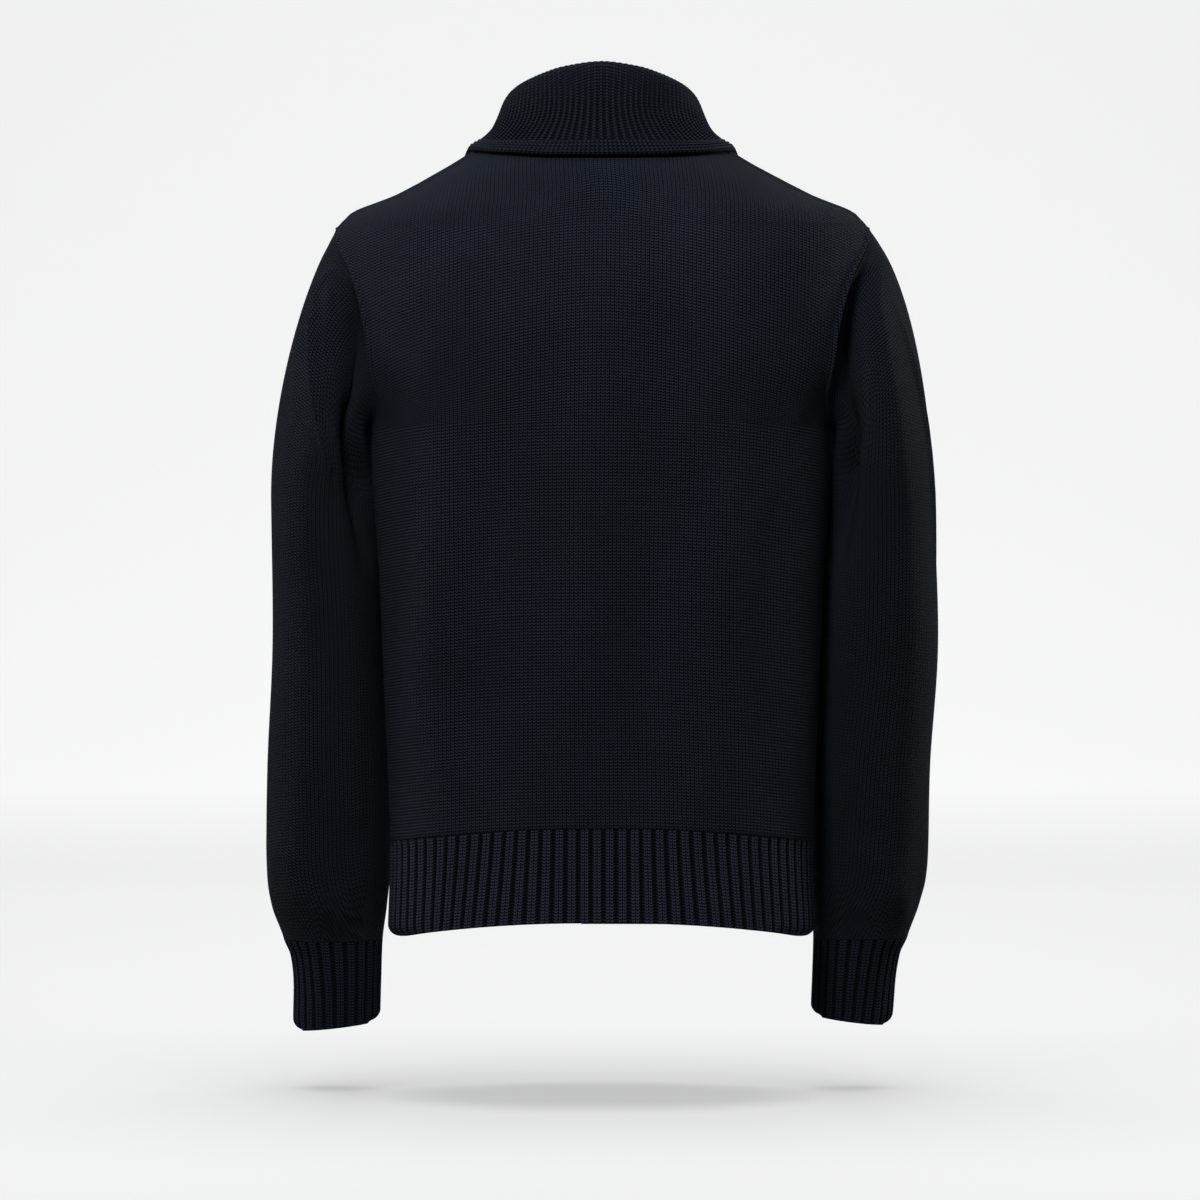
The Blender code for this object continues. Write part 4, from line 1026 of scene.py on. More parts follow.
def cuff(name, node, side, table):
    share = np.linspace(0, 1, CUFF_RIBS * POINTS_PER_RIB + 1)
    angle = 360 * share + 180
    smooth_face = cuff_face(table, side, angle, np.zeros((len(CUFF_PLACES), 1)))
    down = lengths(smooth_face, 0)
    to_edge = down[-1:] - down
    wander = 0.12 * np.sin(2 * math.pi * (share * 3 + 0.2)) * smooth(to_edge, 0, 0.06)
    relief = broad_rib(share * CUFF_RIBS + wander) * (0.25 + 0.75 * smooth(down, 0, 0.005))
    sideways = np.abs(np.cos(np.radians(angle)))
    bottom = np.maximum(rounded(to_edge, BOTTOM_ROUND), tucked(to_edge, sideways))
    lowered = -relief * smooth(to_edge, -0.001, 0.004) - bottom - cuff_hold(angle)
    outer = cuff_face(table, side, angle, lowered)
    places = np.stack([rib_columns(share * CUFF_RIBS + wander), -down / COURSE], -1)
    few = np.linspace(0, 1, CUFF_RIBS * 3 + 1)
    to_edge = to_edge[:, ::4]
    edge = rounded(to_edge, BOTTOM_ROUND) - tucked(to_edge, sideways[::4])
    inner = cuff_face(table, side, 360 * few + 180, edge - RIB_WALL - cuff_hold(360 * few + 180))
    inner_places = np.stack([3 * CUFF_RIBS * few + 0 * edge, -lengths(inner, 0) / COURSE], -1)
    piece = wall(name, outer, inner, places, inner_places, tube=True)
    dress(piece, node, shaded_cuff_rib_knit)
    print(name, "is", round(float(lengths(smooth_face, 1)[3, -1]), 3), "m round")


cuff("cuff_ribbing_left", "cuff_left", 1, LEFT_ARM)
cuff("cuff_ribbing_right", "cuff_right", -1, RIGHT_ARM)


# %% [markdown]
# ## Button bands
#
# The front wasn't photographed, so it is finished plainly: two narrow bands of fine rib, knitted
# across, that lie over each other, with the wearer's left on top. Fine rib is one plain column and one
# purl column in turn, so its relief is a simple wave.

# %% The relief of a 1x1 rib
FINE_RIB = 0.0045
FINE_GROOVE = 0.0017
POINTS_PER_FINE_RIB = 8


def fine_rib(place):
    """How deep the surface lies at a place counted in fine ribs: a raised cosine, to the power 1.5 so
    that the groove is narrower than the rib."""
    return FINE_GROOVE * (0.5 - 0.5 * np.cos(2 * math.pi * place)) ** 1.5


# %% Make the button bands
BAND_EDGE_X = 0.0175
BAND_ROUND = 0.0014


def band(name, node, side):
    bottom, top = body(180.0, 0.0)[2], body(180.0, APEX_LEVEL)[2]
    ribs = round((top - bottom) / FINE_RIB)
    rib = np.linspace(0, ribs, POINTS_PER_FINE_RIB * ribs + 1)
    level = front_level(0.0, bottom + (top - bottom) * rib / ribs)
    rows = np.array(NECKLINE)
    seam_x = np.interp(level, rows[:, 0], rows[:, 1 if side > 0 else 2])
    share = crowded(seam_x + BAND_EDGE_X, 12, EDGE_STEPS[:5])
    x = side * (seam_x[:, None] + (-BAND_EDGE_X - seam_x[:, None]) * share)
    level = np.repeat(level[:, None], share.shape[1], 1)
    angle = front_angle(x, level)
    place, normal = body(angle, level), body_normal(angle, level)
    lift = OVERLAP if side > 0 else 0.0
    smooth_face = place + normal * lift
    across, up = lengths(smooth_face, 1), lengths(smooth_face, 0)
    to_side = np.minimum(across, across[:, -1:] - across)
    drop = rounded(to_side, BAND_ROUND) + rounded(np.minimum(up, up[-1:] - up), BAND_ROUND)
    drop = np.minimum(drop, BAND_ROUND)
    relief = fine_rib(rib)[:, None] * smooth(to_side, -0.002, 0.003)
    outer = place + normal * (lift - relief - drop)[..., None]
    inner = place + normal * (lift + drop - RIB_WALL)[..., None]
    places = np.stack([2 * rib[:, None] + 0.5 + 0 * across, across / COURSE], -1)
    piece = wall(name, outer, inner, places, places)
    dress(piece, node, fine_rib_knit)
    print(name, "has", ribs, "ribs")


band("band_knit_left", "band_left", 1)
band("band_knit_right", "band_right", -1)

# %% [markdown]
# ## Buttons
#
# A turned button is a profile spun round its own axis: a flat back, a rounded rim and a sunk middle.
# Its four holes are cut with a Boolean modifier, which is then applied, and short bars of thread sit in
# them. A worked buttonhole shows beside each button as an overcast ring.

# %% Turn one button and cut its holes
BUTTON_PROFILE = np.array([  # radius and height in millimetres
    (0.0, 0.0), (8.6, 0.0), (9.2, 0.05), (9.9, 0.4), (10.35, 0.9), (10.5, 1.5), (10.5, 2.5), (10.3, 3.2),
    (9.8, 3.75), (9.1, 4.0), (8.2, 4.0), (7.4, 3.85), (6.8, 3.5), (6.2, 3.1), (5.6, 2.9), (0.0, 2.8),
]) / 1000
BUTTON_SIDES = 64
HOLE_FROM_MIDDLE, HOLE_RADIUS = 0.0019, 0.0010


def turned(profile, sides):
    """A profile spun round Z: x and y are the radius times cosine and sine, z is the height."""
    turn = np.arange(sides) * 2 * math.pi / sides
    radius, height = profile[1:-1].T
    ring = np.stack([np.cos(turn), np.sin(turn)], -1)
    heights = np.broadcast_to(height[:, None, None], (len(radius), sides, 1))
    points = np.concatenate([radius[:, None, None] * ring, heights], -1)
    points = np.vstack([points.reshape(-1, 3), [[0, 0, profile[0, 1]], [0, 0, profile[-1, 1]]]])
    number = np.arange(len(radius) * sides).reshape(len(radius), sides)
    number = np.hstack([number, number[:, :1]])
    square = number[:-1, :-1], number[:-1, 1:], number[1:, 1:], number[1:, :-1]
    bottom, top = len(points) - 2, len(points) - 1
    fan = np.stack([number[0, 1:], number[0, :-1], np.full(sides, bottom)], -1)
    cap = np.stack([number[-1, :-1], number[-1, 1:], np.full(sides, top)], -1)
    return points, [np.stack(square, -1).reshape(-1, 4), np.vstack([fan, cap])]


def plain_object(name, points, faces):
    """A mesh with no place in stitches of its own."""
    return mesh_object(name, points, faces, np.arange(len(points)), np.zeros((len(points), 2)))


blank = plain_object("button_blank", *turned(BUTTON_PROFILE, BUTTON_SIDES))
drill_profile = np.array([(0.0, -0.002), (HOLE_RADIUS, -0.002), (HOLE_RADIUS, 0.006), (0.0, 0.006)])
drill_points, drill_faces = turned(drill_profile, 20)
corners = [(a, b, 0) for a in (-1, 1) for b in (-1, 1)]
drills = [drill_points + HOLE_FROM_MIDDLE * np.array(corner) for corner in corners]
moved = [[group + k * len(drill_points) for group in drill_faces] for k in range(4)]
drill = plain_object("button_drill", np.vstack(drills), [np.vstack(groups) for groups in zip(*moved)])
cut = blank.modifiers.new("holes", "BOOLEAN")
cut.operation, cut.solver, cut.object = "DIFFERENCE", "EXACT", drill
drilled = bpy.data.meshes.new_from_object(blank.evaluated_get(bpy.context.evaluated_depsgraph_get()))
button_points = np.zeros(len(drilled.vertices) * 3)
drilled.vertices.foreach_get("co", button_points)
button_points = button_points.reshape(-1, 3)
for helper in (blank, drill):
    bpy.data.objects.remove(helper)
button_width = round(2000 * float(button_points[:, 0].max()), 1)
print("a button has", len(drilled.polygons), "faces and is", button_width, "mm across")


# %% The button's materials
def button_material():
    """Dark horn: a hard gloss over a slightly streaked brown-black."""
    material = bpy.data.materials.new("dark_horn")
    material.use_nodes = True
    tree = material.node_tree
    finish = tree.nodes["Principled BSDF"]
    where = tree.nodes.new("ShaderNodeTexCoord")
    streak = tree.nodes.new("ShaderNodeTexWave")
    streak.inputs["Scale"].default_value = 55.0
    streak.inputs["Distortion"].default_value = 7.0
    streak.inputs["Detail"].default_value = 3.0
    tree.links.new(where.outputs["Object"], streak.inputs["Vector"])
    colour = mix_colour(tree, streak.outputs["Fac"], (0.006, 0.0055, 0.006, 1.0), (0.030, 0.022, 0.017, 1.0))
    tree.links.new(colour, finish.inputs["Base Color"])
    rough = math_node(tree, "MULTIPLY_ADD", streak.outputs["Fac"], 0.15)
    rough.node.inputs[2].default_value = 0.28
    tree.links.new(rough, finish.inputs["Roughness"])
    return material


def thread_material():
    """Twisted sewing thread: a dark cotton with a slanting ripple."""
    material = bpy.data.materials.new("sewing_thread")
    material.use_nodes = True
    tree = material.node_tree
    finish = tree.nodes["Principled BSDF"]
    finish.inputs["Roughness"].default_value = 0.8
    where = tree.nodes.new("ShaderNodeTexCoord")
    twist = tree.nodes.new("ShaderNodeTexWave")
    twist.bands_direction = "DIAGONAL"
    twist.inputs["Scale"].default_value = 900.0
    tree.links.new(where.outputs["Object"], twist.inputs["Vector"])
    colour = mix_colour(tree, twist.outputs["Fac"], (0.006, 0.007, 0.011, 1.0), (0.020, 0.022, 0.030, 1.0))
    tree.links.new(colour, finish.inputs["Base Color"])
    return material


dark_horn, sewing_thread = button_material(), thread_material()

# %% Set the five buttons
BUTTONS = 5
BUTTON_TOP_Z, BUTTON_BOTTOM_Z = -0.306, -0.642
BUTTON_SEAT = 0.0049
BUTTONHOLE = (0.0115, 0.0016, 0.0006)  # half length, half height and thickness of the overcast ring
BUTTONHOLE_SHIFT = 0.0035  # the button sits near one end of its hole


def seat_axes(z):
    """The button's seat on the left band, and the directions right, up and out of it."""
    level = front_level(0.0, z)
    angle = front_angle(0.0, level)
    out = body_normal(angle, level)
    right = unit(np.cross([0.0, 0.0, 1.0], out))
    return body(angle, level), np.array([right, np.cross(out, right), out])


def tube(path, radius, sides, closed=False):
    """A round tube along a path: circles across the path's direction, built from two vectors at right
    angles to it. Its faces join the circles, and an open one gets flat ends."""
    ahead = np.roll(path, -1, axis=0) - np.roll(path, 1, axis=0) if closed else np.gradient(path, axis=0)
    ahead = unit(ahead)
    first = unit(np.cross(ahead, [0.0312, 0.0471, 1.0]))
    second = np.cross(ahead, first)
    turn = (np.arange(sides) * 2 * math.pi / sides)[None, :, None]
    points = path[:, None] + radius * (np.cos(turn) * first[:, None] + np.sin(turn) * second[:, None])
    number = np.arange(len(path) * sides).reshape(len(path), sides)
    grid = np.hstack([number, number[:, :1]])
    if closed:
        grid = np.vstack([grid, grid[:1]])
    square = grid[:-1, :-1], grid[:-1, 1:], grid[1:, 1:], grid[1:, :-1]
    faces = [np.stack(square, -1).reshape(-1, 4)]
    if not closed:
        faces += [number[:1, ::-1], number[-1:]]
    return points.reshape(-1, 3), faces


def joined(parts):
    """Several meshes as one list of points and groups of faces."""
    points, faces, first = [], [], 0
    for some_points, some_faces in parts:
        points.append(some_points)
        faces += [group + first for group in some_faces]
        first += len(some_points)
    return np.vstack(points), faces


def bar(y):
    """One bar of thread between two holes: a half sine over the button's sunk middle."""
    t = np.linspace(-1, 1, 12)
    path = np.stack([t * HOLE_FROM_MIDDLE, y + 0 * t, 0.0022 + 0.0012 * np.cos(t * math.pi / 2)], -1)
    return tube(path, 0.00042, 8)


def small_piece(name, points, faces, material, node):
    piece = plain_object(name, points, faces)
    piece.data.materials.append(material)
    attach(piece, "root")
    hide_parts(node)
    return piece


ring_turn = np.linspace(0, 2 * math.pi, 48, endpoint=False)
thread_bars = joined([bar(share * HOLE_FROM_MIDDLE) for share in (-1.12, -0.88, 0.88, 1.12)])
for number, z in enumerate(np.linspace(BUTTON_TOP_Z, BUTTON_BOTTOM_Z, BUTTONS), 1):
    place, axes = seat_axes(z)
    seat = place + BUTTON_SEAT * axes[2]
    button = bpy.data.objects.new(f"horn_button_{number}", drilled.copy())
    button.data.vertices.foreach_set("co", (seat + button_points @ axes).astype(np.float32).reshape(-1))
    button.data.materials.clear()
    button.data.materials.append(dark_horn)
    button.data.shade_smooth()
    button.data.set_sharp_from_angle(angle=math.radians(40))
    bpy.context.collection.objects.link(button)
    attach(button, "root")
    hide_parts(f"button_{number}")
    thread_points = seat + thread_bars[0] @ axes
    small_piece(
        f"button_thread_{number}", thread_points, thread_bars[1], sewing_thread, f"button_{number}"
    )
    half_length, half_height, thickness = BUTTONHOLE
    path = np.stack([
        BUTTONHOLE_SHIFT + half_length * np.cos(ring_turn), half_height * np.sin(ring_turn), 0 * ring_turn
    ], -1)
    ring_points, ring_faces = tube(place + OVERLAP * axes[2] + path @ axes, thickness, 8, closed=True)
    small_piece(f"buttonhole_{number}", ring_points, ring_faces, sewing_thread, f"button_{number}")
print("buttons:", BUTTONS)

# %% [markdown]
# ## The shawl collar
#
# The collar is one long strip of fine rib, linked to the neckline from one front corner round the neck
# to the other. It stands up from the seam, folds over softly, and falls outside itself. We describe it
# with stations: at each share of the seam's length, where the fold's crest is, and where the free edge
# is. Across the strip a straight stand, a half circle and a quadratic curve make its section.
#
# Where the fall lies on the fronts it is moved out until it is clear of them, as cloth on cloth.

# %% The collar's stations
Station = namedtuple("Station", "share crest_x crest_y crest_z edge_x edge_y edge_z radius")
COLLAR = (
    Station(0.000, -0.0175, -0.1300, -0.2815, -0.0100, -0.1350, -0.2870, 0.0028),
    Station(0.035, -0.0070, -0.1300, -0.2490, 0.0400, -0.1270, -0.2600, 0.0030),
    Station(0.108, 0.0235, -0.1190, -0.1830, 0.0880, -0.1070, -0.1960, 0.0036),
    Station(0.184, 0.0450, -0.0985, -0.1130, 0.1080, -0.0910, -0.1400, 0.0038),
    Station(0.251, 0.0615, -0.0745, -0.0560, 0.1180, -0.0690, -0.0850, 0.0040),
    Station(0.284, 0.0705, -0.0530, -0.0330, 0.1190, -0.0560, -0.0620, 0.0042),
    Station(0.317, 0.0775, -0.0300, -0.0125, 0.1185, -0.0260, -0.0400, 0.0044),
    Station(0.345, 0.0785, -0.0100, 0.0020, 0.1165, -0.0070, -0.0260, 0.0045),
    Station(0.372, 0.0775, 0.0080, 0.0150, 0.1120, 0.0100, -0.0184, 0.0045),
    Station(0.390, 0.0745, 0.0215, 0.0240, 0.1090, 0.0260, -0.0195, 0.0045),
    Station(0.406, 0.0690, 0.0335, 0.0300, 0.1030, 0.0400, -0.0215, 0.0045),
    Station(0.425, 0.0600, 0.0440, 0.0348, 0.0900, 0.0545, -0.0245, 0.0045),
    Station(0.450, 0.0450, 0.0540, 0.0402, 0.0680, 0.0680, -0.0270, 0.0045),
    Station(0.470, 0.0290, 0.0600, 0.0443, 0.0430, 0.0762, -0.0292, 0.0045),
    Station(0.500, 0.0000, 0.0640, 0.0476, 0.0000, 0.0802, -0.0298, 0.0045),
    Station(0.530, -0.0290, 0.0600, 0.0443, -0.0430, 0.0762, -0.0288, 0.0045),
    Station(0.550, -0.0450, 0.0540, 0.0402, -0.0680, 0.0680, -0.0270, 0.0045),
    Station(0.575, -0.0600, 0.0440, 0.0348, -0.0900, 0.0545, -0.0245, 0.0045),
    Station(0.594, -0.0690, 0.0335, 0.0300, -0.1030, 0.0400, -0.0215, 0.0045),
    Station(0.610, -0.0745, 0.0215, 0.0240, -0.1090, 0.0260, -0.0195, 0.0045),
    Station(0.628, -0.0775, 0.0080, 0.0150, -0.1120, 0.0100, -0.0184, 0.0045),
    Station(0.655, -0.0785, -0.0100, 0.0020, -0.1165, -0.0070, -0.0260, 0.0045),
    Station(0.683, -0.0775, -0.0300, -0.0125, -0.1185, -0.0260, -0.0400, 0.0044),
    Station(0.716, -0.0705, -0.0530, -0.0330, -0.1190, -0.0560, -0.0620, 0.0042),
    Station(0.749, -0.0615, -0.0745, -0.0560, -0.1180, -0.0690, -0.0850, 0.0040),
    Station(0.816, -0.0450, -0.0985, -0.1130, -0.1080, -0.0910, -0.1400, 0.0038),
    Station(0.892, -0.0300, -0.1160, -0.1830, -0.0890, -0.1070, -0.1960, 0.0036),
    Station(0.965, -0.0205, -0.1275, -0.2490, -0.0560, -0.1245, -0.2620, 0.0030),
    Station(1.000, -0.0262, -0.1285, -0.2815, -0.0355, -0.1265, -0.2870, 0.0028),
)
COLLAR_RIBS = 204
COLLAR_WALL = 0.0038
COLLAR_LIFT = 0.0016
COLLAR_FREE_Z, COLLAR_FREE_Y = (0.020, 0.045), 0.020
COLLAR_SEAM = 0.0004
FALL_DROP = 0.50  # how far the fall goes straight down before it turns out to its edge


def neckline(share):
    """The collar's seam at each share of its length: the point, the cloth's normal and the way along."""
    rise = np.linspace(APEX_LEVEL, NECK, 800)
    left, right = front_edge_angle(rise, 1), front_edge_angle(rise, -1)
    neck = np.linspace(left[-1], -right[-1], 800)[1:-1]
    angle = np.concatenate([left, neck, -right[::-1]])
    level = np.concatenate([rise, np.full(len(neck), NECK), rise[::-1]])
    points = cloth(angle, level, -KNIT / 2)
    length = lengths(points, 0)
    at = np.interp(share * length[-1], length, np.arange(len(length)))

    def read(values):
        row = np.minimum(at.astype(int), len(values) - 2)
        return values[row] + (values[row + 1] - values[row]) * (at - row)[:, None]

    normal = unit(read(body_normal(angle, np.minimum(level, NECK - 0.01))))
    return read(points), normal, unit(read(np.gradient(points, length, axis=0)))


def lying_on_front(points):
    """The points moved out until the collar is clear of the fronts that it falls over."""
    x, y, z = np.moveaxis(points, -1, 0)
    level = front_level(x, z)
    angle = front_angle(x, level)
    place, normal = body(angle, level), body_normal(angle, level)
    lift = np.where(x > 0, OVERLAP * smooth(-x, -OVERLAP_FROM_X, -BAND_SEAM_X), 0)
    short = lift + COLLAR_WALL / 2 + COLLAR_LIFT - np.sum((points - place) * normal, axis=-1)
    in_front = smooth(-z, *COLLAR_FREE_Z) * smooth(-y, 0, COLLAR_FREE_Y)
    return points + normal * (np.maximum(short, 0) * in_front)[..., None]


# %% The collar's surface
Frame = namedtuple("Frame", "share seam normal way crest edge up out radius")


def collar_frame(share):
    """All that the section at each share of the seam is drawn from."""
    seam, normal, way = neckline(share)
    table = np.array(COLLAR)
    station = Station(*along(COLLAR, np.interp(share, table[:, 0], np.arange(len(table)))).T)
    crest = np.stack([station.crest_x, station.crest_y, station.crest_z], -1)
    edge = np.stack([station.edge_x, station.edge_y, station.edge_z], -1)
    up = unit(crest - seam)
    return Frame(share, seam, normal, way, crest, edge, up, unit(np.cross(way, up)), station.radius[:, None])


def fall_corners(at):
    """The start, control and end of the fall's curve: straight down, and then out to its edge."""
    start = at.crest - at.radius * at.up + at.radius * at.out
    control = start - at.up * np.linalg.norm(at.edge - start, axis=1, keepdims=True) * FALL_DROP
    return start, control, at.edge


def fall(at, t):
    """The collar's fall: (1-t)^3 start + 3t(1-t) control + t^3 edge, and then clear of the fronts."""
    start, control, end = fall_corners(at)
    t = t[..., None]
    return lying_on_front((1 - t) ** 3 * start + 3 * t * (1 - t) * control + t**3 * end)


def fall_place(at, distance):
    """The t that lies a distance short of the free edge, by measuring the last part of the curve.

    Known fault: at both ends of the collar the fall is shorter than the distances asked for. Rows then
    meet, their normals aren't numbers, and the mesh's validation puts those points of the edge at the
    origin."""
    t = np.linspace(1, 0.4, 41)
    away = lengths(fall(at, t[:, None] + 0 * at.share), 0)
    below = np.clip((away[None] < distance[:, None, None]).sum(axis=1) - 1, 0, 39)
    start, end = (np.take_along_axis(away, below + k, axis=0) for k in (0, 1))
    return t[below] + (t[1] - t[0]) * np.clip((distance[:, None] - start) / (end - start), 0, 1)


def surface_normals(grid):
    """The outward side of a grid: the way down its columns crossed with the way along its rows."""
    return unit(np.cross(np.gradient(grid, axis=0), np.gradient(grid, axis=1)))


EDGE_SETBACK = 0.0024  # the strip ends this far short of its bound edge
STAND_PLACES = np.linspace(0, 1, 10)[:-1]
FOLD_TURNS = np.radians(np.linspace(-90, 90, 11))
FALL_PLACES = np.linspace(0, 1, 15)[1:]


def collar_grid(share):
    """The collar's middle surface, rows from the seam over the fold to the edge, and its normals."""
    at = collar_frame(share)
    foot = at.crest - at.radius * at.up - at.radius * at.out
    rows = [at.seam + (foot - at.seam) * place for place in STAND_PLACES]
    for turn in FOLD_TURNS:
        rolled = math.cos(turn) * at.up + math.sin(turn) * at.out
        rows.append(at.crest - at.radius * at.up + at.radius * rolled)
    last = fall_place(at, np.array([EDGE_SETBACK]))
    rows = np.concatenate([rows, fall(at, FALL_PLACES[:, None] * last)])
    return at, rows, surface_normals(rows)


def collar_face(share, depth):
    """One face of the collar, depth out from its middle. Its first row lies on the panels' own edge."""
    at, rows, normals = collar_grid(share)
    face = rows + normals * depth[..., None]
    away = unit(np.cross(at.way, at.normal))
    away = away * np.sign(np.sum(away * (rows[1] - at.seam), axis=1, keepdims=True))
    face[0] = at.seam - np.sign(depth[0])[:, None] * at.normal * KNIT / 2 + away * COLLAR_SEAM
    return face


# %% Make the collar
COLLAR_POINTS = 8
share = np.linspace(0, 1, COLLAR_POINTS * COLLAR_RIBS + 1)
_, middle, _ = collar_grid(share)
down = lengths(middle, 0)
to_edge = down[-1:] - down
fold_end = down[len(STAND_PLACES) + len(FOLD_TURNS) - 1]
over_fold = smooth(down, 0.012, 0.030) * (1 - smooth((down - fold_end) / (down[-1:] - fold_end), 0.10, 0.60))
relief = fine_rib(share * COLLAR_RIBS) * smooth(down, 0.002, 0.012) * smooth(to_edge, 0.004, 0.010)
relief *= 1 - 0.75 * over_fold  # the fold stretches the ribs and flattens them
ribbed = collar_face(share, COLLAR_WALL / 2 - relief)
few = share[::4]
plain = collar_face(few, np.full((len(middle), len(few)), -COLLAR_WALL / 2))
ribbed_places = np.stack([2 * share * COLLAR_RIBS + 0.5 + 0 * down, down / COURSE], -1)
collar = wall("collar_knit", ribbed, plain, ribbed_places, ribbed_places[:, ::4])
dress(collar, "collar", fine_rib_knit)
print("collar shows", round(cloth_area(middle), 3), "m2;", len(collar.data.polygons), "faces")

# %% [markdown]
# ## The collar's bound edge
#
# The free edge is finished with two rows of chain stitches that run along it, with a fine line of
# stitches above them. In relief that is two cords side by side, a gap, and a thinner cord. We carry
# this section along the edge and round its rim, and let the place in stitches run along the edge, so
# that the Vs lie on their side and read as chains.

# %% Make the bound edge
CHAIN = 0.0033  # width of one row of chain stitches
CHAIN_STITCH = 0.0038
EDGE_WALL = COLLAR_WALL / 2


def chain_relief(distance, run):
    """How far the edge stands out of the collar at a distance from the edge and a place along it: two
    arches of a sine, each crossed by slanted stitches, then a gap and a lower line of stitches."""
    row = (distance - 0.0003) / CHAIN
    arch = np.abs(np.sin(math.pi * row)) ** 0.7
    stitch = 0.5 - 0.5 * np.cos(2 * math.pi * (run / CHAIN_STITCH - 0.9 * np.abs(row % 1.0 - 0.5)))
    chains = 0.0001 + arch * (0.0003 + 0.0008 * stitch)
    beyond = np.sin(math.pi * np.clip((distance - 0.0078) / 0.0023, 0, 1))
    line = 0.0001 + beyond * (0.0003 + 0.0004 * stitch)
    return np.where(distance < 0.0003 + 2 * CHAIN, chains, np.where(distance < 0.0078, 0.0001, line))


def edge_section(share):
    """The edge's rows: down the outer face, round the rim and a little way up the inner face."""
    at = collar_frame(share)
    outer_side = np.concatenate([[0.0105, 0.0101], np.linspace(0.0098, 0.0003, 26), [0.0]])
    inner_side = np.linspace(0.0, 0.0050, 8)
    distance = np.concatenate([outer_side, inner_side])[:, None]
    grid = fall(at, fall_place(at, EDGE_SETBACK + distance[:, 0]))
    up_to = len(outer_side)
    normals = np.concatenate([surface_normals(grid[:up_to]), -surface_normals(grid[up_to:][::-1])[::-1]])
    return grid, normals, distance, up_to


def bound_edge(name):
    share = np.linspace(0, 1, 1501)
    grid, normals, distance, up_to = edge_section(share)
    run = lengths(grid[up_to - 1][None], 1)
    relief = chain_relief(distance[:up_to], run)
    back_relief = 0.0004 * (1 - smooth(distance[up_to:], 0.002, 0.005)) + 0 * grid[up_to:, :, 0]
    rim_point, rim_out = grid[up_to - 1], normals[up_to - 1]
    rim_down = unit(grid[up_to - 1] - grid[up_to - 4])
    turns = np.linspace(0, math.pi, 12)[1:-1]

    def section(front, back, radius):
        round_rim = [rim_point + radius * (math.cos(a) * rim_out + math.sin(a) * rim_down) for a in turns]
        return np.concatenate([
            grid[:up_to] + normals[:up_to] * (EDGE_WALL + front)[..., None],
            round_rim,
            grid[up_to:] + normals[up_to:] * (EDGE_WALL + back)[..., None],
        ])

    outer = section(relief, back_relief, EDGE_WALL + 0.0004)
    inner = section(0.00002 + 0 * relief, 0.00002 + 0 * back_relief, EDGE_WALL + 0.00002)
    across = lengths(outer, 0)
    places = np.stack([across / CHAIN, run / CHAIN_STITCH + 0 * across], -1)
    piece = wall(name, outer, inner[:, ::5], places, places[:, ::5])
    piece.data.materials.append(chain_knit)
    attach(piece, "root")
    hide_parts("collar")
    width = round(float(across[-1].mean()), 4)  # nan while the fault in fall_place stands
    print(name, "runs", round(float(run[0, -1]), 3), "m and is", width, "m across")


bound_edge("collar_edge")

# %% [markdown]
# ## Floor and light
#
# The picture is a bright studio one, with a pale ground and only a soft shadow under the garment. A
# wide sweep of pale board goes back under the cardigan and curves up behind it. The dark cloth needs
# light from above for its shoulders and from both sides for its folds, so three large soft lamps do
# that, and the world fills the rest.

# %% Build the sweep
FLOOR_Z = -0.812
SWEEP_FRONT, SWEEP_BACK, SWEEP_TOP = 6.0, -5.0, 5.0
SWEEP_ROUND = 2.5


def sweep():
    """A floor, a quarter circle and a wall: one profile, carried sideways."""
    turn = np.linspace(0, math.pi / 2, 24)
    y = np.concatenate([[SWEEP_FRONT], SWEEP_BACK + SWEEP_ROUND - SWEEP_ROUND * np.sin(turn), [SWEEP_BACK]])
    z = np.concatenate([[0.0], SWEEP_ROUND - SWEEP_ROUND * np.cos(turn), [SWEEP_TOP]]) + FLOOR_Z
    x = np.linspace(-8, 8, 9)
    grid = np.stack(np.broadcast_arrays(x[None, :], y[:, None], z[:, None]), -1)
    mesh = bpy.data.meshes.new("pale_sweep")
    mesh.from_pydata(grid.reshape(-1, 3).tolist(), [], quads(len(y), len(x)).tolist())
    mesh.shade_smooth()
    made = bpy.data.objects.new("pale_sweep", mesh)
    bpy.context.collection.objects.link(made)
    return made


def board_material():
    """Pale board that glows where the picture sees it, so that the ground stays even."""
    material = bpy.data.materials.new("pale_board")
    material.use_nodes = True
    tree = material.node_tree
    finish = tree.nodes["Principled BSDF"]
    finish.inputs["Roughness"].default_value = 0.9
    finish.inputs["Specular IOR Level"].default_value = 0.0
    finish.inputs["Base Color"].default_value = (0.48, 0.48, 0.48, 1.0)
    finish.inputs["Emission Strength"].default_value = 1.0
    where = tree.nodes.new("ShaderNodeTexCoord")
    place = tree.nodes.new("ShaderNodeSeparateXYZ")
    tree.links.new(where.outputs["Object"], place.inputs[0])
    def share_of(value, start, end):
        node = tree.nodes.new("ShaderNodeMapRange")
        tree.links.new(value, node.inputs["Value"])
        for label, number in (("From Min", start), ("From Max", end)):
            node.inputs[label].default_value = number
        return node.outputs["Result"]

    beside = math_node(tree, "SUBTRACT", math_node(tree, "ABSOLUTE", place.outputs["X"]), 0.5)
    outside = share_of(math_node(tree, "MAXIMUM", beside, place.outputs["Y"]), 0.8, 1.8)
    near, far, upright = ((grey, grey, grey, 1.0) for grey in (0.48, 0.585, 0.70))
    glow = mix_colour(tree, share_of(place.outputs["Y"], -0.4, -2.2), near, far)
    glow = mix_colour(tree, share_of(place.outputs["Z"], FLOOR_Z, FLOOR_Z + 0.1), glow, upright)
    glow = mix_colour(tree, outside, glow, (0.10, 0.10, 0.10, 1.0))
    tree.links.new(glow, finish.inputs["Emission Color"])
    return material


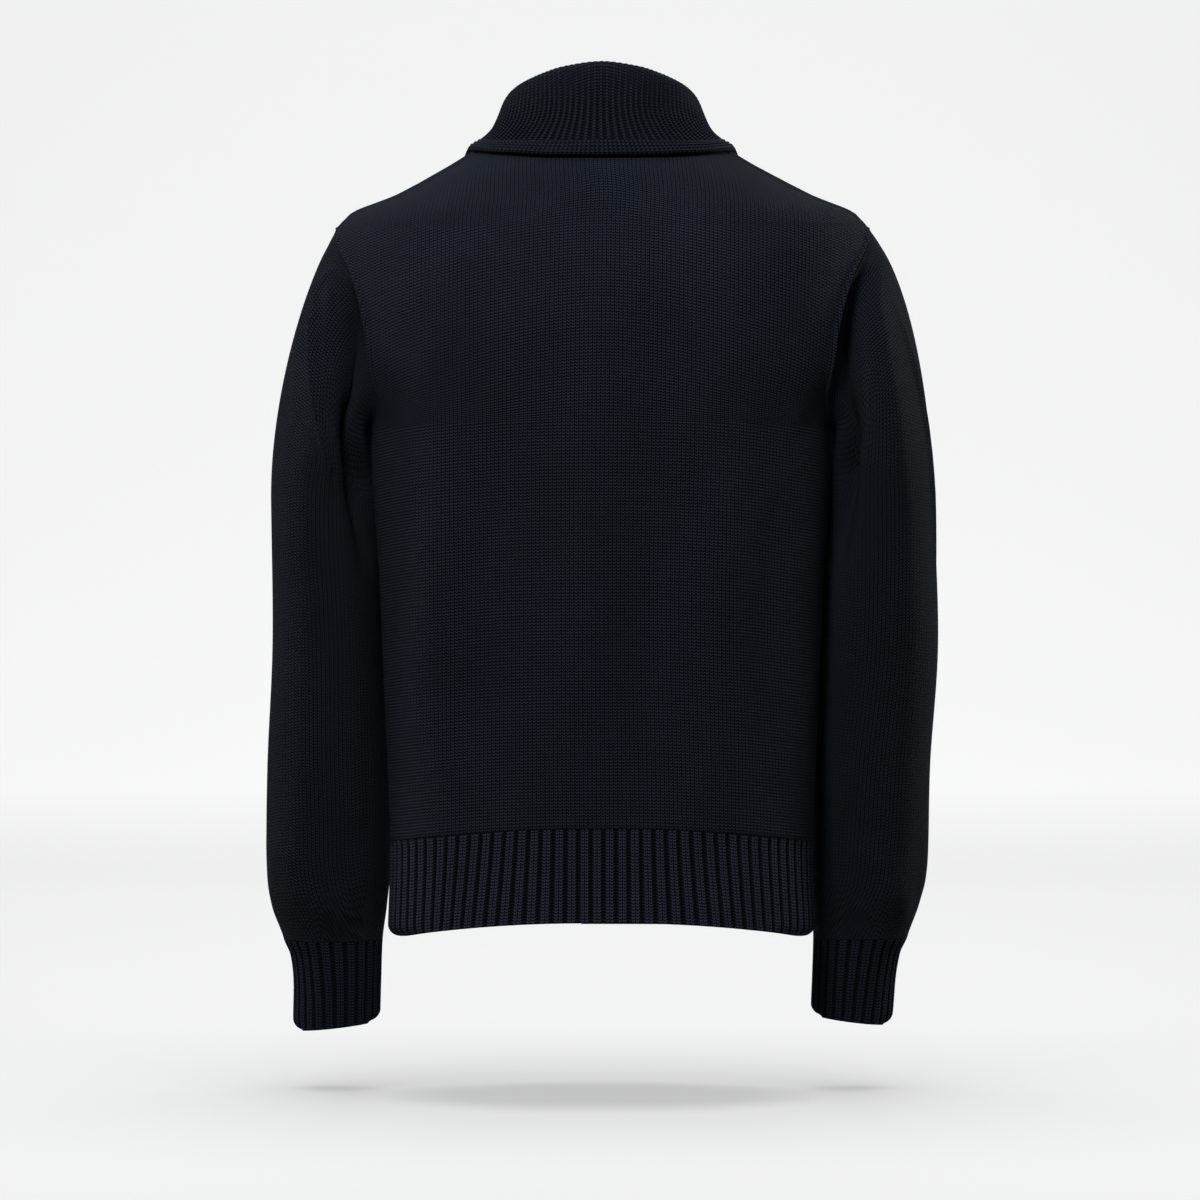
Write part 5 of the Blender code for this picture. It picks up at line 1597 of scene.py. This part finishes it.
floor = sweep()
floor.data.materials.append(board_material())
floor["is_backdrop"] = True

# %% Hang the lamps
Lamp = namedtuple("Lamp", "name place aim size power lights_floor")
LAMPS = (
    Lamp("overhead", (0.0, 0.25, 2.6), (0.0, 0.0, -0.4), 2.6, 102.0, True),
    Lamp("above_camera", (0.5, 1.9, 1.5), (0.0, 0.0, -0.25), 0.6, 140.0, False),
    Lamp("left_edge", (2.3, -0.8, 0.6), (0.0, 0.0, -0.30), 0.5, 65.0, False),
    Lamp("right_edge", (-2.2, -1.2, 0.6), (0.0, 0.0, -0.30), 0.6, 105.0, False),
)


def hang(lamp):
    """A square soft lamp that faces its aim. A flag in front of it may keep it off the sweep."""
    data = bpy.data.lights.new(lamp.name, "AREA")
    data.size, data.energy = lamp.size, lamp.power
    made = bpy.data.objects.new(lamp.name, data)
    bpy.context.collection.objects.link(made)
    made.location = lamp.place
    way = made.location.copy()
    way -= type(way)(lamp.aim)
    made.rotation_euler = way.to_track_quat("Z", "Y").to_euler()
    if not lamp.lights_floor:
        flagged = bpy.data.collections.new(lamp.name + "_flag")
        flagged.objects.link(floor)
        flagged.collection_objects[0].light_linking.link_state = "EXCLUDE"
        made.light_linking.receiver_collection = flagged
    return made


for lamp in LAMPS:
    hang(lamp)
world = bpy.data.worlds.new("studio")
bpy.context.scene.world = world
world.use_nodes = True
world.node_tree.nodes["Background"].inputs["Color"].default_value = (0.90, 0.95, 1.0, 1.0)
world.node_tree.nodes["Background"].inputs["Strength"].default_value = 0.12
bpy.context.scene.view_settings.view_transform = "Standard"
print("lamps:", [lamp.name for lamp in LAMPS])

# %% [markdown]
# ## Check the size and the triangles
#
# The dressed cardigan must stay as large as the imported one, so the difference between the two boxes is
# printed, corner by corner.

# %% Write the sizes and the triangle count
new_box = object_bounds()
triangles = {piece.name: sum(len(face.vertices) - 2 for face in piece.data.polygons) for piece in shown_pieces()}
largest = max(triangles, key=triangles.get)
print("triangles:", sum(triangles.values()), "in all, most in", largest, triangles[largest])


def as_lists(box):
    """A box of vectors as plain lists of numbers."""
    return [[float(value) for value in corner] for corner in box]


for corner, ours, packed in zip(("low", "high"), as_lists(new_box), as_lists(cad_box)):
    print(corner, "corner, ours less the packed, mm:", [round(1000 * (a - b), 1) for a, b in zip(ours, packed)])
